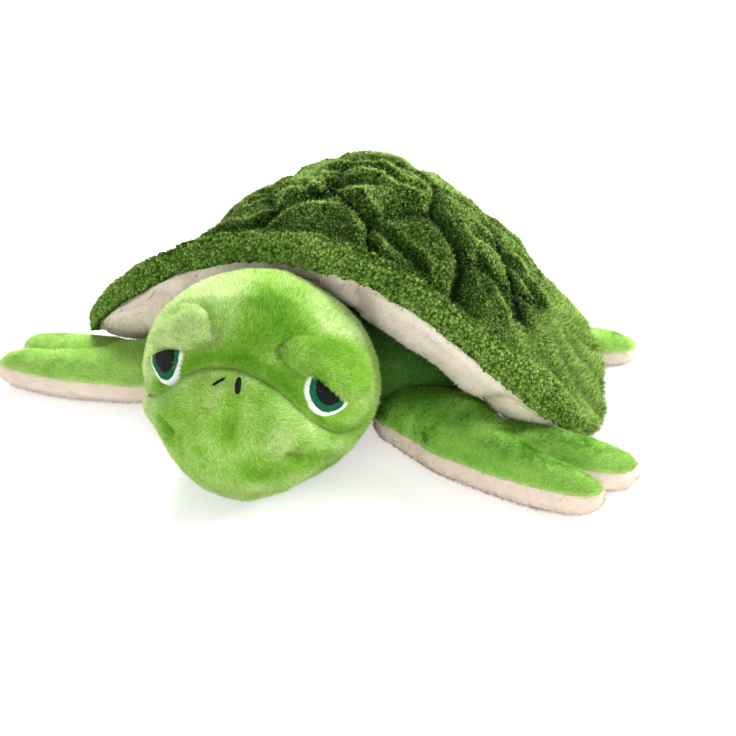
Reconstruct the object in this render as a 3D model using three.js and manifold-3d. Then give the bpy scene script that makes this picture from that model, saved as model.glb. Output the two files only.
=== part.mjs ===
// Plush turtle lying on its belly: a curly-pile shell with a padded brim, a stuffed
// body, head, four flippers and a tail, each sewn from fabric panels over a filling.
// Millimetres, +Z up, the head points along -Y and the turtle's left is +X.
// The floor is z = 0 and the part's origin is under the middle of its bounding box.

import * as THREE from 'three';
import { mergeVertices } from 'three/addons/utils/BufferGeometryUtils.js';
import Module from 'manifold-3d';

// Fabric and fits, shared by every sewn part
const fabricThickness = 1.6;
const fit = 0.3;
const socketFit = 0.7;
const floorFlat = 0.5;
const cutOverrun = 400;

// Shell dome: a peaked oval cap that has slipped towards the turtle's left
const shellSlip = 3;
const domeCentreY = 95;
const domeHalfWidth = 117;
const domeFrontReach = 122;
const domeRearReach = 109;
const domeBaseHeight = 40;
const domeRise = 96;
const domeRoundShare = 1.9;
const domePeakShare = 0.82;
const domeEdgeFrontShare = 0.63;
const domeEdgeSideShare = 0.97;
const domeArchShare = 1.6;

// Quilting of the dome: stitched lines run midway between the middles of the scutes. A middle is
// given to the turtle's left of the shell's axis and by its Y, and stands on both sides of it
const scuteMiddles = [
  [0, 24], [27, 77], [59, 52], [69, 90.5], [94, 59], [0, 118], [44, 128], [88, 118],
  [22, 162], [64, 162], [0, 204], [44, 200], [124, 92], [105, 150], [80, 14], [128, 50],
];
const quiltDepth = 4.2;
const quiltHalfWidth = 9;
const quiltFadeShare = 0.93;

// The deepest slack folds of the cover, each along the places it passes
const foldDepth = 3.6;
const foldHalfWidth = 6;
const slackFolds = [
  [[-66, 46], [-40, 34], [-20, 40], [-15, 50], [4, 50]],
  [[-6, 75], [15, 83], [34, 82], [42, 85]],
  [[20, 54], [31, 46], [38, 33]],
  [[74, 89], [83, 97], [95, 105], [104, 108], [118, 117]],
];

// Wall of the shell filling below the dome's edge, down into the body
const coreHalfWidth = 74;
const coreFrontReach = 50;
const coreRearReach = 60;
const coreFrontHeight = 48;
const coreSideHeight = 22;

// Brim: its outer seam runs through twelve stations, from the front middle by the turtle's left
const brimHalfWidth = 150;
const brimFrontY = 5;
const brimRearY = 234;
const brimArchHeight = 98;
const brimLeftDroop = 8;
const brimRightDroop = 22;
const brimLengthShares = [0, 0.01, 0.15, 0.34, 0.64, 0.9, 1, 0.9, 0.64, 0.35, 0.14, 0.02];
const brimWidthShares = [0, 0.44, 0.92, 0.98, 0.81, 0.48, 0, -0.48, -0.82, -1, -0.95, -0.47];
const brimHeightShares = [1, 0.94, 0.24, 0, 0.19, 0.26, 0.19, 0.06, 0, 0, 0.16, 0.78];

// Brim section: the roll above the seam, the top and the puffed lining below. The roll flattens
// into a flap behind the turtle's left corner; its shares follow the stations, and close
const brimRollHeight = 17;
const brimRollShares = [1, 1, 0.95, 0.35, 0.3, 0.5, 0.8, 1, 1, 1, 1, 1, 1];
const brimRollBack = 9;
const brimNose = 3;
const brimTopPuff = 1;
const brimTuck = 6;
const liningPuff = 11;
const liningHeadRoom = 2;
const headClearWidth = 52;
const brimNoseShare = 0.45;
const brimTopShare = 0.58;
const brimJointShare = 0.97;
const brimInnerShare = 0.4;
const brimSeamShare = 0.004;

// Body: a flat oval bag, green above its side seam and cream below
const bodyFrontY = 26;
const bodyRearY = 212;
const bodyHalfWidth = 98;
const bodySeamHeight = 20;
const bodyBackRise = 46;
const bodyWidthShares = [0.8, 0.92, 1, 0.98, 0.86];
const bodyRiseShares = [0.9, 1, 1, 0.9, 0.7];

// Head: skull, muzzle and jaw swell out of one another. It is turned to the turtle's left
// and leans over with its chin to the right; forward, apart and up are seen by the face
const headX = 9;
const headY = -30;
const headHeight = 52;
const faceTurn = 16.5;
const faceLean = 7.5;
const skullHalfWidth = 62;
const skullHalfLength = 55;
const skullHalfHeight = 55;
const muzzleForward = 25;
const muzzleDown = 10;
const muzzleHalfWidth = 45;
const muzzleHalfLength = 43;
const muzzleHalfHeight = 42.5;
const jawForward = 8;
const jawDown = 30;
const jawHalfWidth = 48;
const jawHalfLength = 41;
const jawHalfHeight = 23;
const chinSeamHeight = 10;

// The muzzle's seam arches under the eyes through these places, apart and up, as far as the cheeks
const muzzleSeamPlaces = [
  [-66, -22], [-46, -4], [-30, 15], [-12, 25], [-2, 26.5], [16, 21.5], [34, 7.5], [50, -8], [66, -18],
];
const muzzleSeamSteps = 24;
const cheekSeamForward = 8;

// Brow pads bend round the skull over the eyes
const browApart = 41.5;
const browForward = 30;
const browUp = 27.4;
const browHalfWidth = 25;
const browHalfHeight = 12;
const browBulge = 6;
const browSink = 1;
const browSlope = 36;
const browShares = [0.8, 1, 1, 0.7];

// Embroidered eyes, cut straight by the sloping lids, and nostril stitches
const eyeThread = 0.8;
const eyeApart = 43.4;
const eyeForward = 35.3;
const eyeUp = 18.2;
const eyeRadius = 14.2;
const irisRadius = 12;
const irisShift = 0.2;
const pupilRadius = 8.6;
const lidSlope = 40;
const noseShift = -3;
const nostrilApart = 4.6;
const nostrilForward = 53;
const nostrilUp = 16.5;
const nostrilHalfWidth = 1.3;
const nostrilHalfHeight = 4;

// Neck: a stuffed knuckle between the head and the body; the head turns each way and lifts on it
const neckY = 18;
const neckHeight = 46;
const neckRadius = 25;
const headSwing = 12;
const headLift = 8;

// Front flippers: a mitten of a long front lobe and a blunt rear lobe, round at the shoulder
const shoulderX = 68;
const shoulderY = 38;
const shoulderRadius = 25;
const shoulderRise = 15;
const frontSeamHeight = 14;
const frontLobeTipX = 184;
const frontLobeTipY = -8;
const frontLobeBendY = 1;
const frontLobeHalfWidth = 22;
const frontLobeRise = 18;
const rearLobeRootX = 88;
const rearLobeRootY = 34;
const rearLobeTipX = 192;
const rearLobeTipY = 24;
const rearLobeHalfWidth = 17;
const rearLobeRise = 9;
const flipperLie = 2;
const frontWidthShares = [1, 1, 0.72, 0.6, 0.6];
const frontRiseShares = [0.8, 1, 0.8, 0.65, 0.6];
const rearWidthShares = [0.7, 0.9, 1, 1];
const rearRiseShares = [1, 1, 0.95, 0.8];

// Rear flippers and tail
const hipX = 80;
const hipY = 180;
const hipRadius = 18;
const rearFlipperTipX = 138;
const rearFlipperTipY = 198;
const rearFlipperHalfWidth = 17;
const rearFlipperSeamHeight = 9;
const rearFlipperRise = 10;
const rearFlipperShares = [0.9, 1, 0.95, 0.8];
const tailRootY = 208;
const tailTipY = 258;
const tailHalfWidth = 12;
const tailSeamHeight = 6;
const tailRise = 7;
const tailShares = [1, 0.9, 0.7, 0.4];

const wasm = await Module();
wasm.setup();
const turtle = new THREE.Group();
const up = new THREE.Vector3(0, 0, 1);

// Piece colours, as seen on the real fabrics and threads
const fabrics = {
  curl: { color: 0x4f7a1f, roughness: 0.95 },
  cream: { color: 0xe6cdb6, roughness: 0.92 },
  lime: { color: 0x86c440, roughness: 0.9 },
  leaf: { color: 0x4f9a2c, roughness: 0.9 },
  darkLeaf: { color: 0x2c6a1e, roughness: 0.9 },
  wadding: { color: 0xf2f2ee, roughness: 1 },
  whiteThread: { color: 0xf4f6f4, roughness: 0.5 },
  greenThread: { color: 0x0c6b45, roughness: 0.5 },
  blackThread: { color: 0x14161a, roughness: 0.5 },
};

// One closed solid from a geometry whose shared corners are merged
function solidOf(geometry) {
  const bare = geometry.clone();
  bare.deleteAttribute('normal');
  bare.deleteAttribute('uv');
  const merged = mergeVertices(bare);
  return new wasm.Manifold(new wasm.Mesh({
    numProp: 3,
    vertProperties: new Float32Array(merged.attributes.position.array),
    triVerts: new Uint32Array(merged.index.array),
  }));
}

// Adds a solid to the turtle as one named mesh with its own material
function addPart(name, solid, fabric) {
  const mesh = solid.getMesh();
  const geometry = new THREE.BufferGeometry();
  geometry.setAttribute('position', new THREE.BufferAttribute(new Float32Array(mesh.vertProperties), 3));
  geometry.setIndex(new THREE.BufferAttribute(new Uint32Array(mesh.triVerts), 1));
  geometry.computeVertexNormals();
  const part = new THREE.Mesh(geometry, new THREE.MeshStandardMaterial({ ...fabric, metalness: 0 }));
  part.name = name;
  turtle.add(part);
}

// The sum of the tetrahedra under the faces tells which way the faces point
function pointsInwards(points, faces) {
  const cross = new THREE.Vector3();
  let sum = 0;
  for (const [a, b, c] of faces) {
    sum += points[a].dot(cross.crossVectors(points[b], points[c]));
  }
  return sum < 0;
}

// Joins rings of points into one closed geometry: a hoop, or a pod when its two poles are given
function skinGeometry(rings, poles) {
  const sides = rings[0].length;
  const points = rings.flat();
  const faces = [];
  const bands = poles ? rings.length - 1 : rings.length;
  for (let band = 0; band < bands; band += 1) {
    const here = band * sides;
    const there = ((band + 1) % rings.length) * sides;
    for (let side = 0; side < sides; side += 1) {
      const next = (side + 1) % sides;
      const corners = [here + side, here + next, there + next, there + side];
      const [a, b, c, d] = corners.map((corner) => points[corner]);
      const turned = a.distanceTo(c) > b.distanceTo(d) ? 1 : 0;
      const [first, second, third, fourth] = corners.map((_, index) => corners[(index + turned) % 4]);
      faces.push([first, second, third], [first, third, fourth]);
    }
  }
  if (poles) {
    const start = points.push(poles[0]) - 1;
    const end = points.push(poles[1]) - 1;
    const last = (rings.length - 1) * sides;
    for (let side = 0; side < sides; side += 1) {
      const next = (side + 1) % sides;
      faces.push([start, next, side]);
      faces.push([end, last + side, last + next]);
    }
  }
  if (pointsInwards(points, faces)) faces.forEach((face) => face.reverse());
  const geometry = new THREE.BufferGeometry().setFromPoints(points);
  geometry.setIndex(faces.flat());
  return geometry;
}
const skin = (rings, poles) => solidOf(skinGeometry(rings, poles));

// Numbers from 0 up to, and without, the count
const counts = (count) => Array.from({ length: count }, (_, index) => index);

// The value of a list of shares at t along it, eased between neighbours
function shareAt(shares, t) {
  const place = Math.min(Math.max(t, 0), 1) * (shares.length - 1);
  const first = Math.min(Math.floor(place), shares.length - 2);
  const ease = THREE.MathUtils.smoothstep(place - first, 0, 1);
  return THREE.MathUtils.lerp(shares[first], shares[first + 1], ease);
}

const signedPower = (value, power) => Math.sign(value) * Math.abs(value) ** power;
const curveOf = (places) => new THREE.CatmullRomCurve3(places.map((place) => new THREE.Vector3(...place)));

// A stuffed ellipsoid, made larger or smaller all round by grow; its inner faces are half as many
function ball(centre, radii, grow, count = 16) {
  const sides = grow < 0 ? count / 2 : count;
  const geometry = new THREE.SphereGeometry(1, sides, sides / 2);
  geometry.rotateX(Math.PI / 2);
  geometry.scale(radii.x + grow, radii.y + grow, radii.z + grow);
  geometry.translate(centre.x, centre.y, centre.z);
  return solidOf(geometry);
}

// A stuffed lobe along a curve: its sides, top and bottom swell and taper by their shares
function lobeGeometry(shape, grow) {
  const { curve, halfWidth, widthShares, rise, riseShares, fall } = shape;
  const steps = grow < 0 ? shape.steps / 2 : shape.steps;
  const sides = grow < 0 ? shape.sides / 2 : shape.sides;
  const { roundShare = 0.5, boxShare = 0.8 } = shape;
  const length = curve.getLength();
  const first = curve.getPoint(0).addScaledVector(curve.getTangent(0), -grow);
  const last = curve.getPoint(1).addScaledVector(curve.getTangent(1), grow);
  const place = (t) => {
    const grown = t * (1 + 2 * grow / length) - grow / length;
    return curve.getPoint(THREE.MathUtils.clamp(grown, 0, 1));
  };
  const rings = counts(steps - 1).map((index) => {
    const turn = Math.PI * (index + 1) / steps;
    const t = (1 - Math.cos(turn)) / 2;
    const swell = Math.sin(turn) ** roundShare;
    const across = new THREE.Vector3().crossVectors(up, curve.getTangent(t)).normalize();
    const wide = (halfWidth * shareAt(widthShares, t) + grow) * swell;
    return counts(sides).map((side) => {
      const angle = 2 * Math.PI * side / sides;
      const width = wide * signedPower(Math.cos(angle), boxShare);
      const reach = Math.sin(angle) > 0 ? rise * shareAt(riseShares, t) + grow : fall + grow;
      const height = reach * swell * signedPower(Math.sin(angle), boxShare);
      return place(t).addScaledVector(across, width).addScaledVector(up, height);
    });
  });
  return skinGeometry(rings, [first, last]);
}
const lobe = (shape, grow) => solidOf(lobeGeometry(shape, grow));

// What lies between two levels, above one or below one
function slab(low, high) {
  const geometry = new THREE.BoxGeometry(2 * cutOverrun, 2 * cutOverrun, high - low);
  geometry.translate(0, 0, (low + high) / 2);
  return solidOf(geometry);
}
const above = (level) => slab(level, cutOverrun);
const below = (level) => slab(-cutOverrun, level);
const joinAll = (solids) => solids.reduce((whole, solid) => whole.add(solid));
const cutAll = (solid, cutters) => cutters.reduce((rest, cutter) => rest.subtract(cutter), solid);

// A bag of two panels sewn at a level seam over its filling, resting flat on the floor
function sewnBag(names, form, seamHeight, topFabric, cutters) {
  const fabric = cutAll(form(0).subtract(form(-fabricThickness)).intersect(above(0)), cutters);
  addPart(names.top, fabric.intersect(above(seamHeight + fit / 2)), topFabric);
  addPart(names.bottom, fabric.intersect(below(seamHeight - fit / 2)), fabrics.cream);
  const filling = form(-fabricThickness - fit).intersect(above(fabricThickness));
  addPart(names.filling, cutAll(filling, cutters), fabrics.wadding);
}

// Shell dome
function domeAt(share, angle, grow) {
  const reach = Math.cos(angle) > 0 ? domeFrontReach : domeRearReach;
  const height = (domeRise + grow) * (1 - share ** domeRoundShare) ** domePeakShare;
  return new THREE.Vector3(
    shellSlip + (domeHalfWidth + grow) * share * Math.sin(angle),
    domeCentreY - (reach + grow) * share * Math.cos(angle),
    domeBaseHeight + height,
  );
}

// How far the cover is drawn in at a place in plan by the stitched lines and the slack folds
const allMiddles = scuteMiddles.flatMap(([x, y]) => (x === 0 ? [[x, y]] : [[x, y], [-x, y]]))
  .map(([x, y]) => new THREE.Vector2(x, y));
const foldLines = slackFolds.flatMap((fold) => fold.slice(1).map((end, index) => new THREE.Line3(
  new THREE.Vector3(...fold[index], 0),
  new THREE.Vector3(...end, 0),
)));
function quiltAt(x, y) {
  const here = new THREE.Vector3(x - shellSlip, y, 0);
  const flat = new THREE.Vector2(here.x, here.y);
  const [near, next] = allMiddles.toSorted((a, b) => a.distanceToSquared(flat) - b.distanceToSquared(flat));
  const edge = (next.distanceToSquared(flat) - near.distanceToSquared(flat)) / (2 * near.distanceTo(next));
  const gaps = foldLines.map((line) => (
    line.closestPointToPoint(here, true, new THREE.Vector3()).distanceTo(here)
  ));
  const stitched = 1 - THREE.MathUtils.smoothstep(edge, 0, quiltHalfWidth);
  const folded = 1 - THREE.MathUtils.smoothstep(Math.min(...gaps), 0, foldHalfWidth);
  return Math.max(quiltDepth * stitched, foldDepth * folded);
}

// The dome as sewn: drawn in along its normal, less and less towards its edge
function quiltedAt(share, angle, grow) {
  const place = domeAt(share, angle, grow);
  const plain = domeAt(share, angle, 0);
  const step = 1 / domeHalfWidth;
  const along = domeAt(share + step, angle, 0).sub(domeAt(Math.max(share - step, step / 2), angle, 0));
  const wide = Math.max(share, step);
  const around = domeAt(wide, angle + step, 0).sub(domeAt(wide, angle - step, 0));
  const normal = share < step ? up.clone() : around.cross(along).normalize();
  if (normal.z < 0) normal.negate();
  const kept = 1 - THREE.MathUtils.smoothstep(share / domeEdgeShare(angle), quiltFadeShare, 1);
  return place.addScaledVector(normal, -quiltAt(plain.x, plain.y) * kept);
}

// Where the dome's edge lies on it: it climbs over the neck at the front
function domeEdgeShare(angle) {
  const arch = Math.max(Math.cos(angle), 0) ** domeArchShare;
  return THREE.MathUtils.lerp(domeEdgeSideShare, domeEdgeFrontShare, arch);
}

// The foot of the shell filling's wall, inside the body
function coreFootAt(angle, grow) {
  const front = Math.cos(angle) > 0;
  const reach = front ? coreFrontReach : coreRearReach;
  const lift = front ? Math.cos(angle) ** domeArchShare : 0;
  return new THREE.Vector3(
    shellSlip + (coreHalfWidth + grow) * Math.sin(angle),
    domeCentreY - (reach + grow) * Math.cos(angle),
    THREE.MathUtils.lerp(coreSideHeight, coreFrontHeight, lift),
  );
}

const shellSides = 60;
const brimSides = 28;
const domeSteps = 12;
const evenAngles = (count) => counts(count).map((side) => 2 * Math.PI * side / count);
const shellAngles = evenAngles(shellSides);
const brimAngles = evenAngles(brimSides);

function domeRings(grow, lower = 0) {
  return counts(domeSteps).map((step) => shellAngles.map((angle) => (
    quiltedAt((domeEdgeShare(angle) + lower / domeHalfWidth) * (step + 1) / domeSteps, angle, grow)
  )));
}

// The whole shell as one closed form: dome, wall and foot
function shellForm(grow) {
  const foot = shellAngles.map((angle) => coreFootAt(angle, grow));
  const bottom = new THREE.Vector3(shellSlip, domeCentreY, coreSideHeight);
  return skin([...domeRings(grow), foot], [quiltedAt(0, 0, grow), bottom]);
}

// The dome's cover: its outer skin turned in at the edge and carried back inside
function domeCover(room) {
  const inside = -fabricThickness - room;
  const rings = [...domeRings(room, room), ...domeRings(inside, room).reverse()];
  return skin(rings, [quiltedAt(0, 0, room), quiltedAt(0, 0, inside)]);
}

// Brim
const brimSeam = new THREE.CatmullRomCurve3(brimWidthShares.map((share, index) => new THREE.Vector3(
  shellSlip + brimHalfWidth * share,
  THREE.MathUtils.lerp(brimFrontY, brimRearY, brimLengthShares[index]),
  THREE.MathUtils.lerp(share < 0 ? brimRightDroop : brimLeftDroop, brimArchHeight, brimHeightShares[index]),
)), true);

// The closed outline of the brim at one angle, from its outer seam over the roll and back below
function brimLoop(angle) {
  const seam = brimSeam.getPoint(angle / (2 * Math.PI));
  const edge = domeAt(domeEdgeShare(angle), angle, 0);
  const out = seam.clone().sub(edge).setZ(0).normalize();
  const from = (place, outwards, upwards) => (
    place.clone().addScaledVector(out, outwards).addScaledVector(up, upwards)
  );
  const joint = from(domeAt(domeEdgeShare(angle) * brimJointShare, angle, 0), -brimTuck, 0);
  const inner = from(edge.clone().lerp(coreFootAt(angle, 0), brimInnerShare), -brimTuck, 0);
  const aside = Math.min(Math.abs(seam.x - shellSlip) / headClearWidth, 1);
  const overHead = Math.cos(angle) > 0 ? 1 - aside ** 2 : 0;
  const hang = THREE.MathUtils.lerp(liningPuff, -liningHeadRoom, overHead);
  const roll = brimRollHeight * shareAt(brimRollShares, angle / (2 * Math.PI));
  return new THREE.CatmullRomCurve3([
    seam,
    from(seam, brimNose, roll * brimNoseShare),
    from(seam, -brimRollBack, roll),
    from(seam.clone().lerp(joint, brimTopShare), 0, brimTopPuff + roll * (1 - brimTopShare)),
    joint,
    inner,
    from(seam.clone().lerp(inner, brimTopShare), 0, -hang),
  ], true);
}

// Places on the brim's outline at shares of it, grown away from its middle
function brimPlaces(angle, shares, grow) {
  const loop = brimLoop(angle);
  const middle = loop.points.reduce((sum, place) => sum.add(place), new THREE.Vector3());
  middle.divideScalar(loop.points.length);
  return shares.map((share) => {
    const place = loop.getPoint(share);
    const reach = place.distanceTo(middle);
    return place.sub(middle).multiplyScalar((reach + grow) / reach).add(middle);
  });
}

// The outline in even steps; the cover takes the first ones and the lining the last
const brimSteps = 12;
const brimShares = counts(brimSteps).map((step) => step / brimSteps);
const coverShares = [brimSeamShare, ...brimShares.slice(1, 8)];
const liningShares = [...brimShares.slice(9), 1 - brimSeamShare];

// A fabric strip of the brim: its outside, turned in at both edges and carried back inside
function brimStrip(shares) {
  return skin(brimAngles.map((angle) => [
    ...brimPlaces(angle, shares, 0),
    ...brimPlaces(angle, shares, -fabricThickness).reverse(),
  ]));
}

const brimWadding = () => skin(
  brimAngles.map((angle) => brimPlaces(angle, brimShares, -fabricThickness - 2 * fit)),
);

// Body and neck
function bodyForm(grow) {
  return lobe({
    curve: curveOf([[0, bodyFrontY, bodySeamHeight], [0, bodyRearY, bodySeamHeight]]),
    halfWidth: bodyHalfWidth,
    widthShares: bodyWidthShares,
    rise: bodyBackRise,
    riseShares: bodyRiseShares,
    fall: bodySeamHeight + floorFlat,
    steps: 12,
    sides: 20,
  }, grow);
}

const neckPlace = new THREE.Vector3(headX, neckY, neckHeight);
const neckForm = (grow) => ball(neckPlace, { x: neckRadius, y: neckRadius, z: neckRadius }, grow);

// Head
const headPlace = new THREE.Vector3(headX, headY, headHeight);

// Takes a geometry from the face's own frame to the head's place
function toHead(geometry) {
  geometry.rotateY(THREE.MathUtils.degToRad(faceLean));
  geometry.rotateZ(THREE.MathUtils.degToRad(faceTurn));
  return geometry.translate(headPlace.x, headPlace.y, headPlace.z);
}

function headBall(forward, down, halfWidth, halfLength, halfHeight, grow) {
  const sides = grow < 0 ? 10 : 20;
  const geometry = new THREE.SphereGeometry(1, sides, sides / 2);
  geometry.rotateX(Math.PI / 2);
  geometry.scale(halfWidth + grow, halfLength + grow, halfHeight + grow);
  return toHead(geometry.translate(0, -forward, -down));
}
const skullBall = (grow) => headBall(0, 0, skullHalfWidth, skullHalfLength, skullHalfHeight, grow);
const headForm = (grow) => joinAll([
  skullBall(grow),
  headBall(muzzleForward, muzzleDown, muzzleHalfWidth, muzzleHalfLength, muzzleHalfHeight, grow),
  headBall(jawForward, jawDown, jawHalfWidth, jawHalfLength, jawHalfHeight, grow),
].map(solidOf));

// The room that the head sweeps as it turns and lifts on the neck
const headStops = [-headSwing, 0, headSwing].flatMap((swing) => (
  [0, -headLift / 2, -headLift].map((nod) => [swing, nod])
));
const headSweep = joinAll(headStops.map(([swing, nod]) => {
  const room = skullBall(2 * fit).translate(-neckPlace.x, -neckPlace.y, -neckPlace.z);
  room.rotateX(THREE.MathUtils.degToRad(nod));
  room.rotateZ(THREE.MathUtils.degToRad(swing));
  return solidOf(room.translate(neckPlace.x, neckPlace.y, neckPlace.z));
}));

// Flippers and tail, each round at its root
const rootBall = (x, y, seamHeight, radius, rise) => (grow) => ball(
  new THREE.Vector3(x, y, seamHeight),
  { x: radius, y: radius, z: rise },
  grow,
);
const shoulderBall = (side) => (
  rootBall(side * shoulderX, shoulderY, frontSeamHeight, shoulderRadius, shoulderRise)
);
const hipBall = (side) => rootBall(side * hipX, hipY, rearFlipperSeamHeight, hipRadius, rearFlipperRise);
const tailBall = rootBall(0, tailRootY, tailSeamHeight, tailHalfWidth, tailRise);

function frontFlipperForm(side) {
  const turn = THREE.MathUtils.degToRad(side * flipperLie);
  const pivot = new THREE.Vector3(side * shoulderX, shoulderY, frontSeamHeight);
  const place = (x, y) => (
    new THREE.Vector3(side * x, y, frontSeamHeight).sub(pivot).applyAxisAngle(up, turn).add(pivot).toArray()
  );
  const lobeShape = (places, halfWidth, widthShares, rise, riseShares) => ({
    curve: curveOf(places),
    halfWidth,
    widthShares,
    rise,
    riseShares,
    fall: frontSeamHeight + floorFlat,
    steps: 12,
    sides: 14,
  });
  const front = lobeShape([
    place(shoulderX, shoulderY),
    place((shoulderX + frontLobeTipX) / 2, frontLobeBendY),
    place(frontLobeTipX, frontLobeTipY),
  ], frontLobeHalfWidth, frontWidthShares, frontLobeRise, frontRiseShares);
  const rear = lobeShape([
    place(rearLobeRootX, rearLobeRootY),
    place(rearLobeTipX, rearLobeTipY),
  ], rearLobeHalfWidth, rearWidthShares, rearLobeRise, rearRiseShares);
  return (grow) => joinAll([shoulderBall(side)(grow), lobe(front, grow), lobe(rear, grow)]);
}

const rearFlipperForm = (side) => (grow) => hipBall(side)(grow).add(lobe({
  curve: curveOf([
    [side * hipX, hipY, rearFlipperSeamHeight],
    [side * rearFlipperTipX, rearFlipperTipY, rearFlipperSeamHeight],
  ]),
  halfWidth: rearFlipperHalfWidth,
  widthShares: rearFlipperShares,
  rise: rearFlipperRise,
  riseShares: rearFlipperShares,
  fall: rearFlipperSeamHeight + floorFlat,
  steps: 8,
  sides: 10,
}, grow));

const tailForm = (grow) => tailBall(grow).add(lobe({
  curve: curveOf([[0, tailRootY, tailSeamHeight], [0, tailTipY, tailSeamHeight]]),
  halfWidth: tailHalfWidth,
  widthShares: tailShares,
  rise: tailRise,
  riseShares: tailShares,
  fall: tailSeamHeight + floorFlat,
  steps: 8,
  sides: 10,
}, grow));

// Assembly
const sides = { left: 1, right: -1 };
const bodyCutters = [neckForm(socketFit), headSweep, tailBall(socketFit)];
for (const side of Object.values(sides)) {
  bodyCutters.push(shoulderBall(side)(socketFit), hipBall(side)(socketFit));
}
sewnBag(
  { top: 'body_back_panel', bottom: 'body_belly_panel', filling: 'body_filling' },
  bodyForm, bodySeamHeight, fabrics.darkLeaf, bodyCutters,
);

const aroundBody = bodyForm(fit);
addPart('shell_dome_cover', domeCover(0).subtract(aroundBody), fabrics.curl);
addPart('shell_filling', cutAll(shellForm(-fabricThickness - fit), [aroundBody]), fabrics.wadding);
const brimCutters = [shellForm(fit), aroundBody, headSweep];
addPart('brim_cover', cutAll(brimStrip(coverShares), brimCutters), fabrics.curl);
addPart('brim_lining', cutAll(brimStrip(liningShares), brimCutters), fabrics.cream);
addPart('brim_filling', cutAll(brimWadding(), brimCutters), fabrics.wadding);

const sleeve = new THREE.BoxGeometry(2 * cutOverrun, neckRadius, 2 * cutOverrun);
sleeve.translate(0, neckY, 0);
addPart(
  'neck_sleeve',
  neckForm(0).subtract(neckForm(-fabricThickness)).intersect(solidOf(sleeve)),
  fabrics.leaf,
);
addPart('neck_filling', neckForm(-fabricThickness - fit), fabrics.wadding);

// Takes a geometry made at the origin, facing -Y, to a place on the face that faces outwards
function onFace(geometry, apart, forward, upwards) {
  geometry.rotateX(-Math.atan2(upwards, Math.hypot(apart, forward)));
  geometry.rotateZ(Math.atan2(apart, forward));
  geometry.translate(apart, -forward, upwards);
  return solidOf(toHead(geometry));
}

// What lies under the muzzle's seam and in front of the cheek seams
function muzzleRoom(grow) {
  const seam = new THREE.SplineCurve(muzzleSeamPlaces.map(([apart, upwards]) => (
    new THREE.Vector2(apart, upwards + grow)
  )));
  const outline = seam.getPoints(muzzleSeamSteps);
  const corners = [outline.at(-1), outline[0]].map((end) => new THREE.Vector2(end.x, -cutOverrun));
  const prism = new THREE.ExtrudeGeometry(new THREE.Shape([...outline, ...corners]), {
    depth: cutOverrun,
    bevelEnabled: false,
  });
  prism.rotateX(Math.PI / 2);
  prism.translate(0, grow - cheekSeamForward, 0);
  return solidOf(toHead(prism));
}

const headSkin = headForm(0).subtract(headForm(-fabricThickness)).subtract(neckForm(socketFit));
const aboveChin = headSkin.intersect(above(chinSeamHeight + fit / 2));
addPart('head_face_panel', aboveChin.subtract(muzzleRoom(fit / 2)), fabrics.lime);
addPart('muzzle_panel', aboveChin.intersect(muzzleRoom(-fit / 2)), fabrics.lime);
addPart('chin_panel', headSkin.intersect(slab(0, chinSeamHeight - fit / 2)), fabrics.lime);
const headFilling = headForm(-fabricThickness - fit).intersect(above(fabricThickness));
addPart('head_filling', headFilling.subtract(neckForm(socketFit)), fabrics.wadding);

// A half disc under the sloping lid as a prism that stands through the face, with room round it
function eyePrism(side, radius, shift, room) {
  const halfDisc = new THREE.Shape().absarc(0, 0, radius + room, Math.PI, 2 * Math.PI, false);
  const prism = new THREE.ExtrudeGeometry(
    halfDisc,
    { depth: 2 * eyeRadius, bevelEnabled: false, curveSegments: 9 },
  );
  prism.rotateX(Math.PI / 2);
  prism.translate(side * shift, eyeRadius, room);
  prism.rotateY(THREE.MathUtils.degToRad(side * lidSlope));
  return onFace(prism, side * eyeApart, eyeForward, eyeUp);
}

function nostrilPrism(side) {
  const prism = new THREE.CylinderGeometry(nostrilHalfWidth, nostrilHalfWidth, 2 * eyeRadius, 8);
  prism.scale(1, 1, nostrilHalfHeight / nostrilHalfWidth);
  return onFace(prism, noseShift + side * nostrilApart, nostrilForward, nostrilUp);
}

// A lobe that bends back at both ends with the skull
function browPad(side) {
  const bend = browHalfWidth ** 2 / (2 * skullHalfWidth);
  const pad = lobeGeometry({
    curve: curveOf([[-browHalfWidth, 0, -bend], [0, 0, 0], [browHalfWidth, 0, -bend]]),
    halfWidth: browHalfHeight,
    widthShares: side > 0 ? browShares : browShares.toReversed(),
    rise: browBulge,
    riseShares: browShares,
    fall: browBulge,
    steps: 10,
    sides: 12,
  }, 0);
  pad.rotateX(Math.PI / 2);
  pad.translate(0, browSink, 0);
  pad.rotateY(THREE.MathUtils.degToRad(side * browSlope));
  return onFace(pad, side * browApart, browForward, browUp);
}

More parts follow.
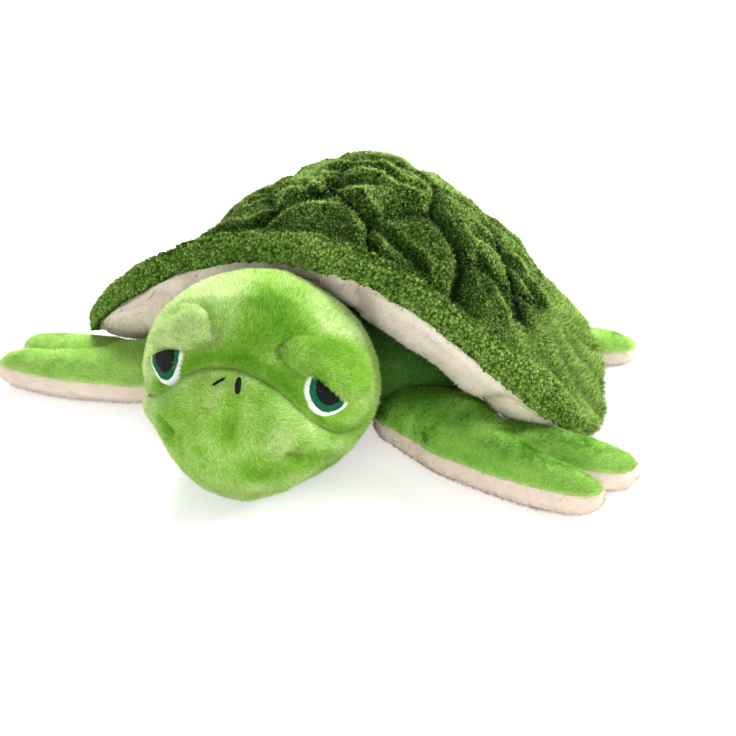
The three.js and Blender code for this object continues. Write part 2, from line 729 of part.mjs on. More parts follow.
const threadLayer = headForm(fit + eyeThread).subtract(headForm(fit));
const aroundHead = headForm(fit);
for (const [name, side] of Object.entries(sides)) {
  const eyeRoom = eyePrism(side, eyeRadius, 0, fit);
  addPart(`${name}_brow_pad`, cutAll(browPad(side), [aroundHead, eyeRoom]), fabrics.lime);

  const eye = threadLayer.intersect(eyePrism(side, eyeRadius, 0, 0));
  const iris = threadLayer.intersect(eyePrism(side, irisRadius, irisShift, 0));
  addPart(`${name}_eye_white`, eye.subtract(eyePrism(side, irisRadius, irisShift, fit)), fabrics.whiteThread);
  addPart(`${name}_iris`, iris.subtract(eyePrism(side, pupilRadius, irisShift, fit)), fabrics.greenThread);
  const pupil = threadLayer.intersect(eyePrism(side, pupilRadius, irisShift, 0));
  addPart(`${name}_pupil`, pupil, fabrics.blackThread);
  addPart(`${name}_nostril_stitch`, threadLayer.intersect(nostrilPrism(side)), fabrics.blackThread);

  sewnBag(
    {
      top: `${name}_front_flipper_top`,
      bottom: `${name}_front_flipper_sole`,
      filling: `${name}_front_flipper_filling`,
    },
    frontFlipperForm(side), frontSeamHeight, fabrics.leaf, [],
  );
  sewnBag(
    {
      top: `${name}_rear_flipper_top`,
      bottom: `${name}_rear_flipper_sole`,
      filling: `${name}_rear_flipper_filling`,
    },
    rearFlipperForm(side), rearFlipperSeamHeight, fabrics.leaf, [],
  );
}
sewnBag(
  { top: 'tail_top', bottom: 'tail_underside', filling: 'tail_filling' },
  tailForm, tailSeamHeight, fabrics.leaf, [],
);

// The origin goes under the middle of the bounding box, at the floor
const bounds = new THREE.Box3().setFromObject(turtle);
const middle = bounds.getCenter(new THREE.Vector3());
turtle.position.set(-middle.x, -middle.y, -bounds.min.z);

export default turtle;
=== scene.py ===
"""Plush turtle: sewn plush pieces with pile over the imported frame, lying on a pale table."""

import math

import bmesh
import bpy
import numpy as np
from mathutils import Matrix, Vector


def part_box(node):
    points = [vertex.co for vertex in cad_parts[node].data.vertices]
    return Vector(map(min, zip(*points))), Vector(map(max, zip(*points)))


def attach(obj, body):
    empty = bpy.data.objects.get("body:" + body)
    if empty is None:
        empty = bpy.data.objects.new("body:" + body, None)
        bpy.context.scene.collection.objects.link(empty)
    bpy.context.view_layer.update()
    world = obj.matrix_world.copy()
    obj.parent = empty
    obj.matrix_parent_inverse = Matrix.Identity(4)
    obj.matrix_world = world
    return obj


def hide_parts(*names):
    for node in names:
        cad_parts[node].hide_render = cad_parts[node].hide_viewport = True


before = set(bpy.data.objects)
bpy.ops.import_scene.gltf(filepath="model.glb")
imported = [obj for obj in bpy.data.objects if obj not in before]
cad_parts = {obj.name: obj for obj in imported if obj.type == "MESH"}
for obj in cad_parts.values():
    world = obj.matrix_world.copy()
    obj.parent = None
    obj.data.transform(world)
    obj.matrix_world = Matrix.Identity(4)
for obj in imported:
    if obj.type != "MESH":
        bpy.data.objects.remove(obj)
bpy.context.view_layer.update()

# Camera and studio. The camera stands to the turtle's left and a little above it, where the
# photographer stood. A pale sheet lies under the toy in a bright room, brightest behind it.
# The neck's middle lies 18 mm behind the zero of the plan that every size below is drawn in.
neck_low, neck_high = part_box("neck_filling")
plan_zero = np.array([0, (neck_low.y + neck_high.y) / 2 - 0.018, 0])
camera_turn, camera_rise, camera_reach = math.radians(27), math.radians(23), 0.8
camera_aim = Vector((0.0405, 0.0291 + plan_zero[1], 0.04))
camera_back = Vector((
    math.sin(camera_turn) * math.cos(camera_rise),
    -math.cos(camera_turn) * math.cos(camera_rise),
    math.sin(camera_rise),
))


def add(name, data):
    """A new object of that data in the scene."""
    made = bpy.data.objects.new(name, data)
    bpy.context.scene.collection.objects.link(made)
    return made


def aim(thing, way):
    """Turns a camera or a lamp to look along a way."""
    thing.rotation_mode = "QUATERNION"
    thing.rotation_quaternion = way.to_track_quat("-Z", "Y")


camera = add("camera", bpy.data.cameras.new("camera"))
camera.data.lens = 72.2
camera.data.sensor_width = 36
camera.data.clip_start, camera.data.clip_end = 0.05, 20
camera.location = camera_aim + camera_back * camera_reach
aim(camera, -camera_back)
bpy.context.scene.camera = camera
bpy.context.scene.view_settings.view_transform = "Standard"


class Wire:
    """A shader socket; sums written with it add their Math nodes to its sheet."""

    def __init__(self, sheet, socket):
        self.sheet, self.socket = sheet, socket

    def maths(self, operation, first, second):
        return self.sheet.node("ShaderNodeMath", {"operation": operation}, {0: first, 1: second})

    def __add__(self, other):
        return self.maths("ADD", self, other)

    def __sub__(self, other):
        return self.maths("SUBTRACT", self, other)

    def __rsub__(self, other):
        return self.maths("SUBTRACT", other, self)

    def __mul__(self, other):
        return self.maths("MULTIPLY", self, other)

    __radd__ = __add__
    __rmul__ = __mul__


class Sheet:
    """One node sheet, of a material or of the world."""

    def __init__(self, owner):
        owner.use_nodes = True
        self.tree = owner.node_tree
        self.tree.nodes.clear()

    def node(self, kind, settings, sockets, output=0):
        """A node of that kind: its settings first, then its sockets' values or wires."""
        made = self.tree.nodes.new(kind)
        for key, value in settings.items():
            if key == "stops":
                ramp = made.color_ramp
                while len(ramp.elements) < len(value):
                    ramp.elements.new(0.5)
                for element, (place, colour) in zip(ramp.elements, value):
                    element.position, element.color = place, (*colour, 1)
            else:
                setattr(made, key, value)
        for key, value in sockets.items():
            if isinstance(value, Wire):
                self.tree.links.new(value.socket, made.inputs[key])
            else:
                made.inputs[key].default_value = value
        return Wire(self, made.outputs[output] if len(made.outputs) else None)


def seen_directly(sheet):
    """1 on rays from the camera, from a mirror or through glass, and 0 on others."""
    paths = [sheet.node("ShaderNodeLightPath", {}, {}, name)
             for name in ("Is Camera Ray", "Is Glossy Ray", "Is Transmission Ray")]
    return paths[0].maths("MAXIMUM", paths[0].maths("MAXIMUM", paths[0], paths[1]), paths[2])


world = bpy.context.scene.world or bpy.data.worlds.new("world")
bpy.context.scene.world = world
sky = Sheet(world)
heading = sky.node("ShaderNodeTexCoord", {}, {}, "Generated")
behind = sky.node("ShaderNodeSeparateXYZ", {}, {0: heading}, "Y")
room = sky.node("ShaderNodeBackground", {}, {"Color": (0.98, 0.99, 1, 1), "Strength": 0.47 + behind * 0.2})
white = sky.node("ShaderNodeBackground", {}, {"Color": (1, 1, 1, 1), "Strength": 1})
sky.node("ShaderNodeOutputWorld", {}, {
    "Surface": sky.node("ShaderNodeMixShader", {}, {0: seen_directly(sky), 1: room, 2: white}),
})

floor_mesh = bpy.data.meshes.new("floor")
floor_mesh.from_pydata([(-4, -4, 0), (4, -4, 0), (4, 4, 0), (-4, 4, 0)], [], [(0, 1, 2, 3)])
floor = add("floor", floor_mesh)
floor_paint = bpy.data.materials.new("pale_sheet")
floor_mesh.materials.append(floor_paint)
paper = Sheet(floor_paint)
paper_matt = paper.node("ShaderNodeBsdfDiffuse", {}, {"Color": (0.93, 0.92, 0.91, 1)})
paper_glow = paper.node("ShaderNodeEmission", {}, {"Strength": seen_directly(paper) * 0.5})
paper.node("ShaderNodeOutputMaterial", {}, {
    "Surface": paper.node("ShaderNodeAddShader", {}, {0: paper_matt, 1: paper_glow}),
})

for lamp_name, place, size, power, colour in (
    ("lamp_above", (-0.7, 0.75, 1.05), 0.6, 28, (1, 0.99, 0.96)),
    ("lamp_side", (1.15, 0.95, 0.6), 0.6, 23, (1, 0.99, 0.96)),
    ("lamp_front", (0.5, -1.2, 0.2), 1.0, 12, (1, 0.98, 0.95)),
):
    lamp = add(lamp_name, bpy.data.lights.new(lamp_name, "AREA"))
    lamp.data.size, lamp.data.energy, lamp.data.color = size, power, colour
    lamp.location = place
    aim(lamp, -Vector(place))


# Body: a flat oval bag, dark green plush above its side seam and cream plush below, stuffed with
# wadding. The two panels are sewn right sides together all round, turned and filled.
body_half_width, body_rise, body_seam, body_sides = 98, 46, 20, 160
body_front, body_rear = 26, 212


def hashed(cells, seed):
    """Numbers from 0 to 1 that belong to whole-number cells: their digits are mixed and cut."""
    mixed = cells.astype(np.int64).astype(np.uint32)
    total = mixed[..., 0] * np.uint32(374761393) + mixed[..., 1] * np.uint32(668265263)
    total = total + mixed[..., 2] * np.uint32(2246822519) + np.uint32(seed * 3266489917 % 2**32)
    total = (total ^ (total >> np.uint32(13))) * np.uint32(1274126177)
    total = (total ^ (total >> np.uint32(16))) * np.uint32(2654435761)
    return (total ^ (total >> np.uint32(15))) / 2**32


def drift(places, size, seed, rounds=2):
    """A smooth field from -1 to 1 that changes over about size mm: the numbers of the eight
    cells round a place, eased between them, plus finer rounds at half the size and strength."""
    total, strength, whole = 0, 1.0, 0.0
    for layer in range(rounds):
        scaled = np.asarray(places) / size * 2**layer
        low = np.floor(scaled)
        ease = scaled - low
        ease = ease * ease * (3 - 2 * ease)
        value = 0
        for corner in np.ndindex(2, 2, 2):
            share = np.prod(np.where(corner, ease, 1 - ease), axis=-1)
            value = value + share * hashed(low + corner, seed + 17 * layer)
        total = total + strength * (2 * value - 1)
        whole, strength = whole + strength, strength / 2
    return total / whole * 1.4


def tufts(places, pitch, seed):
    """How far each place is from the middle of its tuft, in pitches, and that middle: one
    middle lies jittered in each cell of a lattice, and the nearest of 27 cells' wins."""
    low = np.floor(places / pitch)
    nearest, middle = np.full(places.shape[:-1], 9.0), np.zeros(places.shape)
    for step in np.ndindex(3, 3, 3):
        cell = low + np.array(step) - 1
        jitter = np.stack([hashed(cell, seed + key) for key in (1, 2, 3)], -1)
        candidate = cell + jitter
        gap = np.linalg.norm(places / pitch - candidate, axis=-1)
        middle = np.where((gap < nearest)[..., None], candidate * pitch, middle)
        nearest = np.minimum(gap, nearest)
    return nearest, middle


def ramp(value, low, high):
    """0 below low, 1 above high, eased in between."""
    share = np.clip((value - low) / (high - low), 0, 1)
    return share * share * (3 - 2 * share)


def hump(value, middle, width):
    """1 at the middle, falling off as a bell of that half width."""
    return np.exp(-(((value - middle) / width) ** 2))


def blob(places, middle, width):
    """1 at a middle place, falling off as a bell of those half widths along the axes."""
    return np.exp(-(((places - np.array(middle)) / width) ** 2).sum(-1))


def unit(rows):
    """Rows scaled to length 1."""
    return rows / (np.linalg.norm(rows, axis=-1, keepdims=True) + 1e-12)


def full_turn(count):
    """That many angles evenly round a full turn."""
    return 2 * np.pi * np.arange(count) / count


def put(name, places, faces, fields=()):
    """A smooth mesh object from places in the plan's millimetres, with fields on its points."""
    mesh = bpy.data.meshes.new(name)
    mesh.from_pydata((np.asarray(places) / 1000 + plan_zero).tolist(), [], faces)
    mesh.polygons.foreach_set("use_smooth", np.ones(len(mesh.polygons), bool))
    for key, values in dict(fields).items():
        mesh.attributes.new(key, "FLOAT", "POINT").data.foreach_set("value", values.astype(np.float32))
    return add(name, mesh)


def pull(data, key, width, kind=float):
    """A value of each of a mesh's parts, as rows of that width."""
    values = np.empty(len(data) * width, kind)
    data.foreach_get(key, values)
    return values.reshape(-1, width)


def read(piece):
    """Places in the plan's millimetres, unit normals and triangles of a piece's mesh."""
    mesh = piece.data
    mesh.calc_loop_triangles()
    places = (pull(mesh.vertices, "co", 3) - plan_zero) * 1000
    normals = pull(mesh.vertex_normals, "vector", 3, np.float32).astype(float)
    return places, normals, pull(mesh.loop_triangles, "vertices", 3, np.int32)


def move(piece, places):
    """Writes places in the plan's millimetres back into a piece's mesh."""
    piece.data.vertices.foreach_set("co", (places / 1000 + plan_zero).astype(np.float32).ravel())
    piece.data.update()


def mark(piece, **fields):
    """Writes number fields on a piece's points, for its material."""
    for key, values in fields.items():
        field = piece.data.attributes.get(key) or piece.data.attributes.new(key, "FLOAT", "POINT")
        field.data.foreach_set("value", np.asarray(values, np.float32))


def sew(name, rings, ends=None):
    """Joins rings of places into one closed skin: each ring closes on itself, and the row of
    rings closes on itself too, or at two end places. Faces are turned to point outwards."""
    count, sides = rings.shape[:2]
    index = np.arange(count * sides).reshape(count, sides)
    here, there = (index[:-1], index[1:]) if ends is not None else (index, np.roll(index, -1, 0))
    quads = np.stack([here, np.roll(here, -1, 1), np.roll(there, -1, 1), there], -1).reshape(-1, 4)
    places = rings.reshape(-1, 3)
    caps = np.zeros((0, 3), int)
    if ends is not None:
        places = np.concatenate([places, np.asarray(ends, float)])
        first, last, start, end = index[0], index[-1], count * sides, count * sides + 1
        caps = np.concatenate([
            np.stack([np.full(sides, start), np.roll(first, -1), first], -1),
            np.stack([np.full(sides, end), last, np.roll(last, -1)], -1),
        ])
    a, b, c, d = (places[quads[:, k]] for k in range(4))
    volume = np.einsum("ij,ij->", a, np.cross(b, c)) + np.einsum("ij,ij->", a, np.cross(c, d))
    if volume < 0:
        quads, caps = quads[:, ::-1], caps[:, ::-1]
    return put(name, places, quads.tolist() + caps.tolist())


def eased(shares, t):
    """The value of a list of shares at t along it, eased between neighbours."""
    place = np.clip(t, 0, 1) * (len(shares) - 1)
    first = np.minimum(place.astype(int), len(shares) - 2)
    ease = ramp(place - first, 0, 1)
    return np.array(shares)[first] * (1 - ease) + np.array(shares)[first + 1] * ease


def lobe(path, half_width, widths, rise, rises, fall, rings, sides):
    """A stuffed lobe along a bent path: at t the ring is a rounded box, half_width times its
    share wide, rise times its share up and fall down, swelling as the root of a half sine."""
    turn = np.pi * (np.arange(rings) + 1) / (rings + 1)
    t = ((1 - np.cos(turn)) / 2)[:, None]
    start, middle, end = (np.array(place, float) for place in path)
    spine = start * (1 - t) * (1 - 2 * t) + middle * 4 * t * (1 - t) + end * t * (2 * t - 1)
    tangent = start * (4 * t - 3) + middle * (4 - 8 * t) + end * (4 * t - 1)
    across = unit(np.cross([0, 0, 1], tangent))
    angle = full_turn(sides)
    level, height = (np.sign(f(angle)) * np.abs(f(angle)) ** 0.8 for f in (np.cos, np.sin))
    swell = np.sin(turn) ** 0.5
    wide = (half_width * eased(widths, t[:, 0]) * swell)[:, None] * level
    tall = np.where(height > 0, rise * eased(rises, t[:, 0])[:, None], fall) * swell[:, None] * height
    return spine[:, None] + wide[..., None] * across[:, None] + tall[..., None] * np.array([0, 0, 1.0])


def plush(name, deep, middle, pale, low=0.22, tip=0.35, mottle=0.16, sheen=0.35):
    """Dyed plush: colour runs from deep at the root of the pile, a painted shade between the fibres, to pale at
    its tips, lighter or darker where the pile is brushed and where light and shade are painted in the field
    shade; its fields crest and shade and two drifts choose it."""
    paint = bpy.data.materials.new(name)
    sheet = Sheet(paint)
    crest = sheet.node("ShaderNodeAttribute", {"attribute_name": "crest"}, {}, "Fac")
    shade = sheet.node("ShaderNodeAttribute", {"attribute_name": "shade"}, {}, "Fac")
    place = sheet.node("ShaderNodeTexCoord", {}, {}, "Object")
    broad = sheet.node("ShaderNodeTexNoise", {}, {"Vector": place, "Scale": 70.0, "Detail": 3.0})
    fine = sheet.node("ShaderNodeTexNoise", {}, {"Vector": place, "Scale": 900.0, "Detail": 2.0})
    share = crest * tip + shade * 0.8 + (broad - 0.5) * mottle * 2 + (fine - 0.5) * mottle * 1.5 + low
    colour = sheet.node("ShaderNodeValToRGB", {"stops": [(0, deep), (0.5, middle), (1, pale)]}, {0: share})
    bump = sheet.node("ShaderNodeBump", {}, {"Strength": 0.2, "Distance": 0.0003, "Height": fine})
    surface = sheet.node("ShaderNodeBsdfPrincipled", {}, {
        "Base Color": colour, "Roughness": 0.9, "Specular IOR Level": 0.1, "Normal": bump,
        "Sheen Weight": sheen, "Sheen Roughness": 0.45, "Sheen Tint": (*pale, 1),
    })
    sheet.node("ShaderNodeOutputMaterial", {}, {"Surface": surface})
    return paint


def dress(piece, body, paint, nodes=()):
    """Gives a piece its material and its body, and hides the solids that it stands for."""
    piece.data.materials.clear()
    piece.data.materials.append(paint)
    if nodes:
        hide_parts(*nodes)
    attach(piece, body)


def scatter(skin, count, weights, dice):
    """Roots drawn at random over a skin by area times weights, with the skin's normal and shade
    there, and the area they were drawn over."""
    places, normals, corners = read(skin)
    shade = pull(skin.data.attributes["shade"].data, "value", 1, np.float32)[:, 0]
    a, b, c = (places[corners[:, k]] for k in range(3))
    area = np.linalg.norm(np.cross(b - a, c - a), axis=1) * np.asarray(weights)[corners].min(1)
    drawn = corners[dice.choice(len(corners), count, p=area / area.sum())]
    first, second = np.sqrt(dice.random(count)), dice.random(count)
    shares = np.stack([1 - first, first * (1 - second), first * second], -1)
    root, out = (np.einsum("ij,ijk->ik", shares, values[drawn]) for values in (places, normals))
    return root, unit(out), np.einsum("ij,ij->i", shares, shade[drawn]), area.sum() / 2


def grow(name, points, faces, spots, crest, tone, facing):
    """One mesh of many small alike forms: points (form, corner, 3), the corners of a form's
    faces, their spots on the form's own cell of the map, and the fields and normals."""
    count, each = points.shape[:2]
    points[..., 2] = np.maximum(points[..., 2], 0.1)
    index = np.arange(count)[:, None]
    rows = [face for row in faces for face in (index * each + row).tolist()]
    piece = put(name, points.reshape(-1, 3), rows, {"crest": crest.ravel(), "shade": np.repeat(tone, each)})
    across = math.ceil(math.sqrt(count))
    cell = np.stack([np.arange(count) % across, np.arange(count) // across], -1)
    flat = [((cell[:, None] + np.array(spots)[row]) / across).reshape(-1, 2) for row in faces]
    piece.data.uv_layers.new(name="OFBake").data.foreach_set("uv", np.concatenate(flat).ravel())
    piece.data.normals_split_custom_set_from_vertices(unit(facing).reshape(-1, 3).tolist())
    return piece


def pile(name, skin, count, length, width, lean, nap, weights, seed, wander=0.5):
    """Fibre locks on a skin: each leans by the angle lean towards the nap, turned aside by
    wander, and narrows to its tip."""
    dice = np.random.default_rng(seed)
    root, out, tone, _ = scatter(skin, count, weights, dice)
    lay = nap(root)
    lay = unit(lay - out * np.einsum("ij,ij->i", lay, out)[:, None])
    turn = (drift(root, 9, seed + 5) * 1.2 + dice.normal(0, 1, count)) * wander
    lay = lay * np.cos(turn)[:, None] + np.cross(out, lay) * np.sin(turn)[:, None]
    half = np.cross(out, lay) * (width / 2 * (0.7 + 0.6 * dice.random(count)))[:, None]
    tilt = np.clip(lean + dice.normal(0, 0.18, count), 0.1, 1.45)
    long = length * (0.65 + 0.7 * dice.random(count))
    tip = root + (np.cos(tilt) * long)[:, None] * out + (np.sin(tilt) * long)[:, None] * lay
    root = root - out * 0.25
    points = np.stack([root + half, root - half, tip], 1)
    facing = np.repeat((out + dice.normal(0, 0.22, (count, 3)))[:, None], 3, axis=1)
    crest = np.tile([0.22, 0.22, 1.0], (count, 1))
    spots = [(0.9, 0.05), (0.1, 0.05), (0.5, 0.95)]
    return grow(name, points, [[0, 1, 2]], spots, crest, tone + dice.normal(0, 0.17, count), facing)


def curls(name, skin, pitch, high, weights, seed):
    """Curly pile: a small soft knot at each tuft of a jittered lattice. A knot is a ring of five corners at its
    foot, a narrower ring over it and a top, pale above, and dark at its foot, a painted shade in the gaps
    between the knots."""
    dice = np.random.default_rng(seed)
    area = scatter(skin, 1, weights, dice)[3]
    root, out, tone, _ = scatter(skin, int(area / pitch**2 * 12), weights, dice)
    gap, middle = tufts(root, pitch, seed)
    order = np.argsort(gap)
    tuft = np.round(middle[order] * 40).astype(np.int64) @ [1, 40009, 1600720081]
    chosen = order[np.unique(tuft, return_index=True)[1]]
    root, out, tone = root[chosen], out[chosen], tone[chosen]
    count = len(root)
    lay = unit(np.cross(out, dice.normal(0, 1, (count, 3))))
    aside = np.cross(out, lay)
    angle = 2 * np.pi * (np.arange(5) + dice.uniform(-0.25, 0.25, (count, 5))) / 5
    radius = pitch * 0.66 * (0.8 + 0.4 * dice.random((count, 1))) * (0.85 + 0.3 * dice.random((count, 5)))
    ring = (radius * np.cos(angle) * 1.15)[..., None] * lay[:, None]
    ring = ring + (radius * np.sin(angle) * 0.9)[..., None] * aside[:, None]
    height = (high * (0.7 + 0.6 * dice.random(count)))[:, None]
    bend = (lay * dice.normal(0, 0.35, (count, 1)) + aside * dice.normal(0, 0.35, (count, 1))) * high * 0.6
    foot = root[:, None] + ring - out[:, None] * 0.5
    shoulder = root[:, None] + ring * 0.74 + (out * height * 0.62 + bend * 0.5)[:, None]
    top = (root + out * height + bend)[:, None]
    points = np.concatenate([foot, shoulder, top], 1)
    side = ring / radius.mean(1)[:, None, None]
    upwards = (out + bend * 0.3)[:, None]
    facing = np.concatenate([side + out[:, None] * 0.35, side * 0.9 + out[:, None], upwards], 1)
    facing = facing + dice.normal(0, 0.12, facing.shape)
    peak = 0.8 + 0.3 * dice.random((count, 1))
    crest = np.concatenate([np.zeros((count, 5)), 0.55 * peak.repeat(5, 1), peak], 1)
    faces = [[k, (k + 1) % 5, 5 + (k + 1) % 5, 5 + k] for k in range(5)]
    faces += [[5 + k, 5 + (k + 1) % 5, 10] for k in range(5)]
    spots = [(0.5 + r * np.cos(t), 0.5 + r * np.sin(t)) for r in (0.48, 0.26) for t in full_turn(5)]
    spots += [(0.5, 0.5)]
    return grow(name, points, faces, spots, crest, tone + dice.normal(0, 0.09, count), facing)


def towards(*way):
    """A nap that runs one way all over."""
    return lambda root: np.tile(np.array(way, float), (len(root), 1))


backwards = towards(0, 1, -0.2)
body_rings = lobe(
    [(0, body_front, body_seam), (0, (body_front + body_rear) / 2, body_seam), (0, body_rear, body_seam)],
    body_half_width, [0.8, 0.92, 1, 0.98, 0.86],
    body_rise, [0.9, 1, 1, 0.9, 0.7], body_seam + 0.5, 120, body_sides,
)
body_rings[..., 2] = np.maximum(body_rings[..., 2], 0)
body_ends = [(0, body_front, body_seam), (0, body_rear, body_seam)]
dark_plush = plush("dark_plush", (0.02, 0.07, 0.01), (0.06, 0.19, 0.025), (0.2, 0.42, 0.08))
cream_plush = plush("cream_plush", (0.8, 0.64, 0.52), (0.93, 0.8, 0.68), (0.99, 0.95, 0.89), 0.4, 0.3, 0.08)
for panel, first, node_names, slot, paint in (
    ("body_back", 0, ("body_back_panel", "body_filling"), "dark_plush", dark_plush),
    ("body_belly", body_sides // 2, ("body_belly_panel",), "cream_plush", cream_plush),
):
    own_sides = np.arange(first, first + body_sides // 2 + 1) % body_sides
    skin = sew(panel, body_rings[:, own_sides], body_ends)
    places, normals, _ = read(skin)
    off_seam = ramp(np.abs(places[:, 2] - body_seam), 0, 6)
    places += normals * ((drift(places, 30, 3) * 1.6 - 0.6) * off_seam)[:, None]
    places[:, 2] = np.clip(places[:, 2], 0, None)
    move(skin, places)
    mark(skin, crest=0.35 + 0.3 * drift(places, 3, 4), shade=0.25 * drift(places, 35, 5) - 0.05)
    dress(skin, "body", paint, node_names)
    shown = (np.abs(places[:, 2] - body_seam) > 0.05) * (places[:, 2] > 1) * (places[:, 2] < 56)
    locks = pile(f"{panel}_pile", skin, 26000, 2.4, 0.6, 0.9, backwards, shown, first + 3)
    dress(locks, "body", paint)


# Shell dome: curly green plush cut in scutes by stitched lines, drawn loosely over a domed pad.
# Its edge is sewn into the brim's upper seam, and the pad has sunk, so that the cover lies in folds.
shell_slip, dome_middle, dome_half_width = 3, 95, 117
dome_front, dome_rear, dome_base, dome_rise = 122, 109, 40, 96
scute_middles = np.array([
    (7, 24), (-27, 77), (27, 77), (-59, 52), (59, 52), (-69, 90.5), (69, 90.5), (-94, 59), (94, 59),
    (0, 118), (-44, 128), (44, 128), (-88, 118), (88, 118), (-22, 162), (22, 162), (-64, 162), (64, 162),
    (0, 204), (-44, 200), (44, 200), (-124, 92), (124, 92), (-105, 150), (105, 150), (-80, 14), (80, 14),
    (-128, 50), (128, 50),
]) + [shell_slip, 0]
shell_swells = (
    (88, 158, 22, 4), (48, 130, 20, -3), (-99, 67, 24, 4.5), (-35, 84, 22, -3.5), (16, 104, 14, 2.5),
)
shell_creases = (
    (4.5, [(-66, 46), (-40, 34), (-20, 40), (-15, 50), (4, 50)]),
    (3, [(0, 59), (12, 64), (23, 70)]),
    (4, [(-6, 75), (15, 83), (34, 82), (42, 85)]),
    (3.5, [(20, 54), (31, 46), (38, 33)]),
    (2.5, [(35, 45), (50, 42), (64, 42)]),
    (2.5, [(83, 78), (95, 78), (107, 76), (118, 60)]),
    (3.5, [(74, 89), (83, 97), (95, 105), (104, 108), (118, 117)]),
    (3, [(87, 107), (89, 122), (97, 128)]),
    (3, [(-50, 62), (-30, 66), (-12, 58)]),
    (3, [(-92, 70), (-70, 66), (-55, 76)]),
    (2.5, [(-40, 150), (-22, 138), (-8, 142)]),
    (2.5, [(30, 140), (48, 150), (70, 146)]),
    (3, [(-96, 108), (-76, 112), (-66, 128)]),
)


def crease_depth(plan):
    """How deep the slack folds lie: along each crease, -depth x bell(distance / 2.2), between
    two ridges of 0.6 x depth that stand 6 mm to its sides."""
    total = 0
    for depth, line in shell_creases:
        line = np.array(line, float)
        nearest = np.full(plan.shape[:-1], 99.0)
        for a, b in zip(line[:-1], line[1:]):
            along = np.clip(((plan - a) @ (b - a)) / ((b - a) @ (b - a)), 0, 1)
            nearest = np.minimum(nearest, np.linalg.norm(plan - a - along[..., None] * (b - a), axis=-1))
        total = total - depth * hump(nearest, 0, 2.2) + 0.6 * depth * hump(nearest, 6, 2.8)
    return total


def scute_edge(plan):
    """How far a place in plan is from the nearest stitched line: the line lies midway between
    the two nearest scute middles, so it is (far^2 - near^2) / (2 x the middles' distance)."""
    gaps = np.linalg.norm(plan[..., None, :] - scute_middles, axis=-1)
    order = np.argsort(gaps, axis=-1)[..., :2]
    near, far = np.moveaxis(np.take_along_axis(gaps, order, -1), -1, 0)
    span = np.linalg.norm(scute_middles[order[..., 0]] - scute_middles[order[..., 1]], axis=-1)
    return (far**2 - near**2) / (2 * span)


def dome_place(share, angle):
    """A place on the dome's plain form: share runs from the peak to the foot of an oval that
    reaches further at the front, and height is the rise times (1 - share^1.9)^0.82."""
    reach = np.where(np.cos(angle) > 0, dome_front, dome_rear)
    height = dome_base + dome_rise * (1 - share**1.9) ** 0.82
    across = shell_slip + dome_half_width * share * np.sin(angle)
    return np.stack([across, dome_middle - reach * share * np.cos(angle), height + 0 * across], -1)


def dome_edge(angle):
    """The share at which the dome ends: it climbs over the neck at the front."""
    arch = np.maximum(np.cos(angle), 0) ** 1.6
    return 0.97 * (1 - arch) + 0.63 * arch


def dome_skin(share, angle):
    """The dome as sewn: its plain form moved along its normal by the scutes' padding, which
    dips at the stitched lines, by swells, by the slack folds and by a light drift."""
    place = dome_place(share, angle)
    plan = place[..., :2]
    reach = np.where(np.cos(angle) > 0, dome_front, dome_rear)
    fall = -dome_rise * 0.82 * 1.9 * share**0.9 * (1 - share**1.9) ** -0.18
    normal = unit(np.stack([
        -fall * np.sin(angle) / dome_half_width, fall * np.cos(angle) / reach, np.ones_like(fall),
    ], -1))
    edge = scute_edge(plan)
    pad = 2.8 * ramp(edge, 0, 9) - 2.6 * hump(edge, 0, 1.5) - 3.6
    for x, y, width, height in shell_swells:
        pad = pad + height * blob(plan, (x, y), width)
    slack = crease_depth(plan) + 1.2 * drift(place, 11, 21) + 0.9 * drift(place, 30, 22)
    return place + normal * (pad + slack * ramp(dome_edge(angle) - share, 0, 0.05))[..., None]


dome_rows, dome_sides, dome_depth = 140, 360, np.array([0, 0, 12])
dome_angle = full_turn(dome_sides)[None]
dome_share = dome_edge(dome_angle) * (np.linspace(0, 1, dome_rows + 1)[1:, None] + 0.006)
inner_share = dome_edge(dome_angle) * np.linspace(1, 0, 12)[:-1, None]
dome_rings = np.concatenate([
    dome_skin(dome_share, np.broadcast_to(dome_angle, dome_share.shape)),
    dome_place(inner_share, np.broadcast_to(dome_angle, inner_share.shape)) - dome_depth,
])
centre = np.zeros(1)
dome = sew("shell_dome", dome_rings, [dome_skin(centre, centre)[0], dome_place(centre, centre)[0] - dome_depth])
curl_plush = plush(
    "curl_plush", (0.002, 0.01, 0.001), (0.03, 0.08, 0.006), (0.4, 0.6, 0.14), 0.06, 0.8, 0.14, 0.25,
)
places, normals, _ = read(dome)
edge = scute_edge(places[:, :2])
# Painted light: the pile is painted paler on top, behind and at the sides, where the lamps behind the toy fall,
# and darker on the front, which faces away from them. Painted shade darkens the skin along the stitched lines
# and in the folds, painted light brightens the ridges and the scutes' middles, and the bare skin is painted
# near the pile's root colour, a painted shade in the gaps between the knots. The pile is parted here and there
# along the stitched lines.
painted_backlight = 0.3 * normals[:, 1] + 0.2 * ramp(places[:, 2], 105, 132) + 0.16 * normals[:, 0] ** 2
mark(dome, crest=0.05 + 0 * edge,
     shade=0.1 * drift(places, 40, 9) - 0.45 * hump(edge, 0, 2.4) + 0.05 * crease_depth(places[:, :2])
     + 0.1 * ramp(edge, 3, 12) + painted_backlight - 0.14)
dress(dome, "body", curl_plush, ("shell_dome_cover", "shell_filling"))
opened = ramp(drift(places, 24, 24) + 0.45 + 0.008 * places[:, 0], 0, 0.3)
outer = np.arange(len(places)) < dome_rows * dome_sides
outer[-2] = True  # the peak
parted = outer * (1 - opened * (edge < 1.6))
halves = (("left", 1), ("right", -1))
for half, way in halves:
    shown = parted * (way * (places[:, 0] - shell_slip) > -1)
    dress(curls(f"shell_dome_curls_{half}", dome, 1.95, 1.9, shown, 30 + way), "body", curl_plush)
fuzz = pile("shell_dome_fuzz", dome, 98000, 3.6, 0.46, 0.75, backwards, parted, 34, wander=2.4)
dress(fuzz, "body", curl_plush)

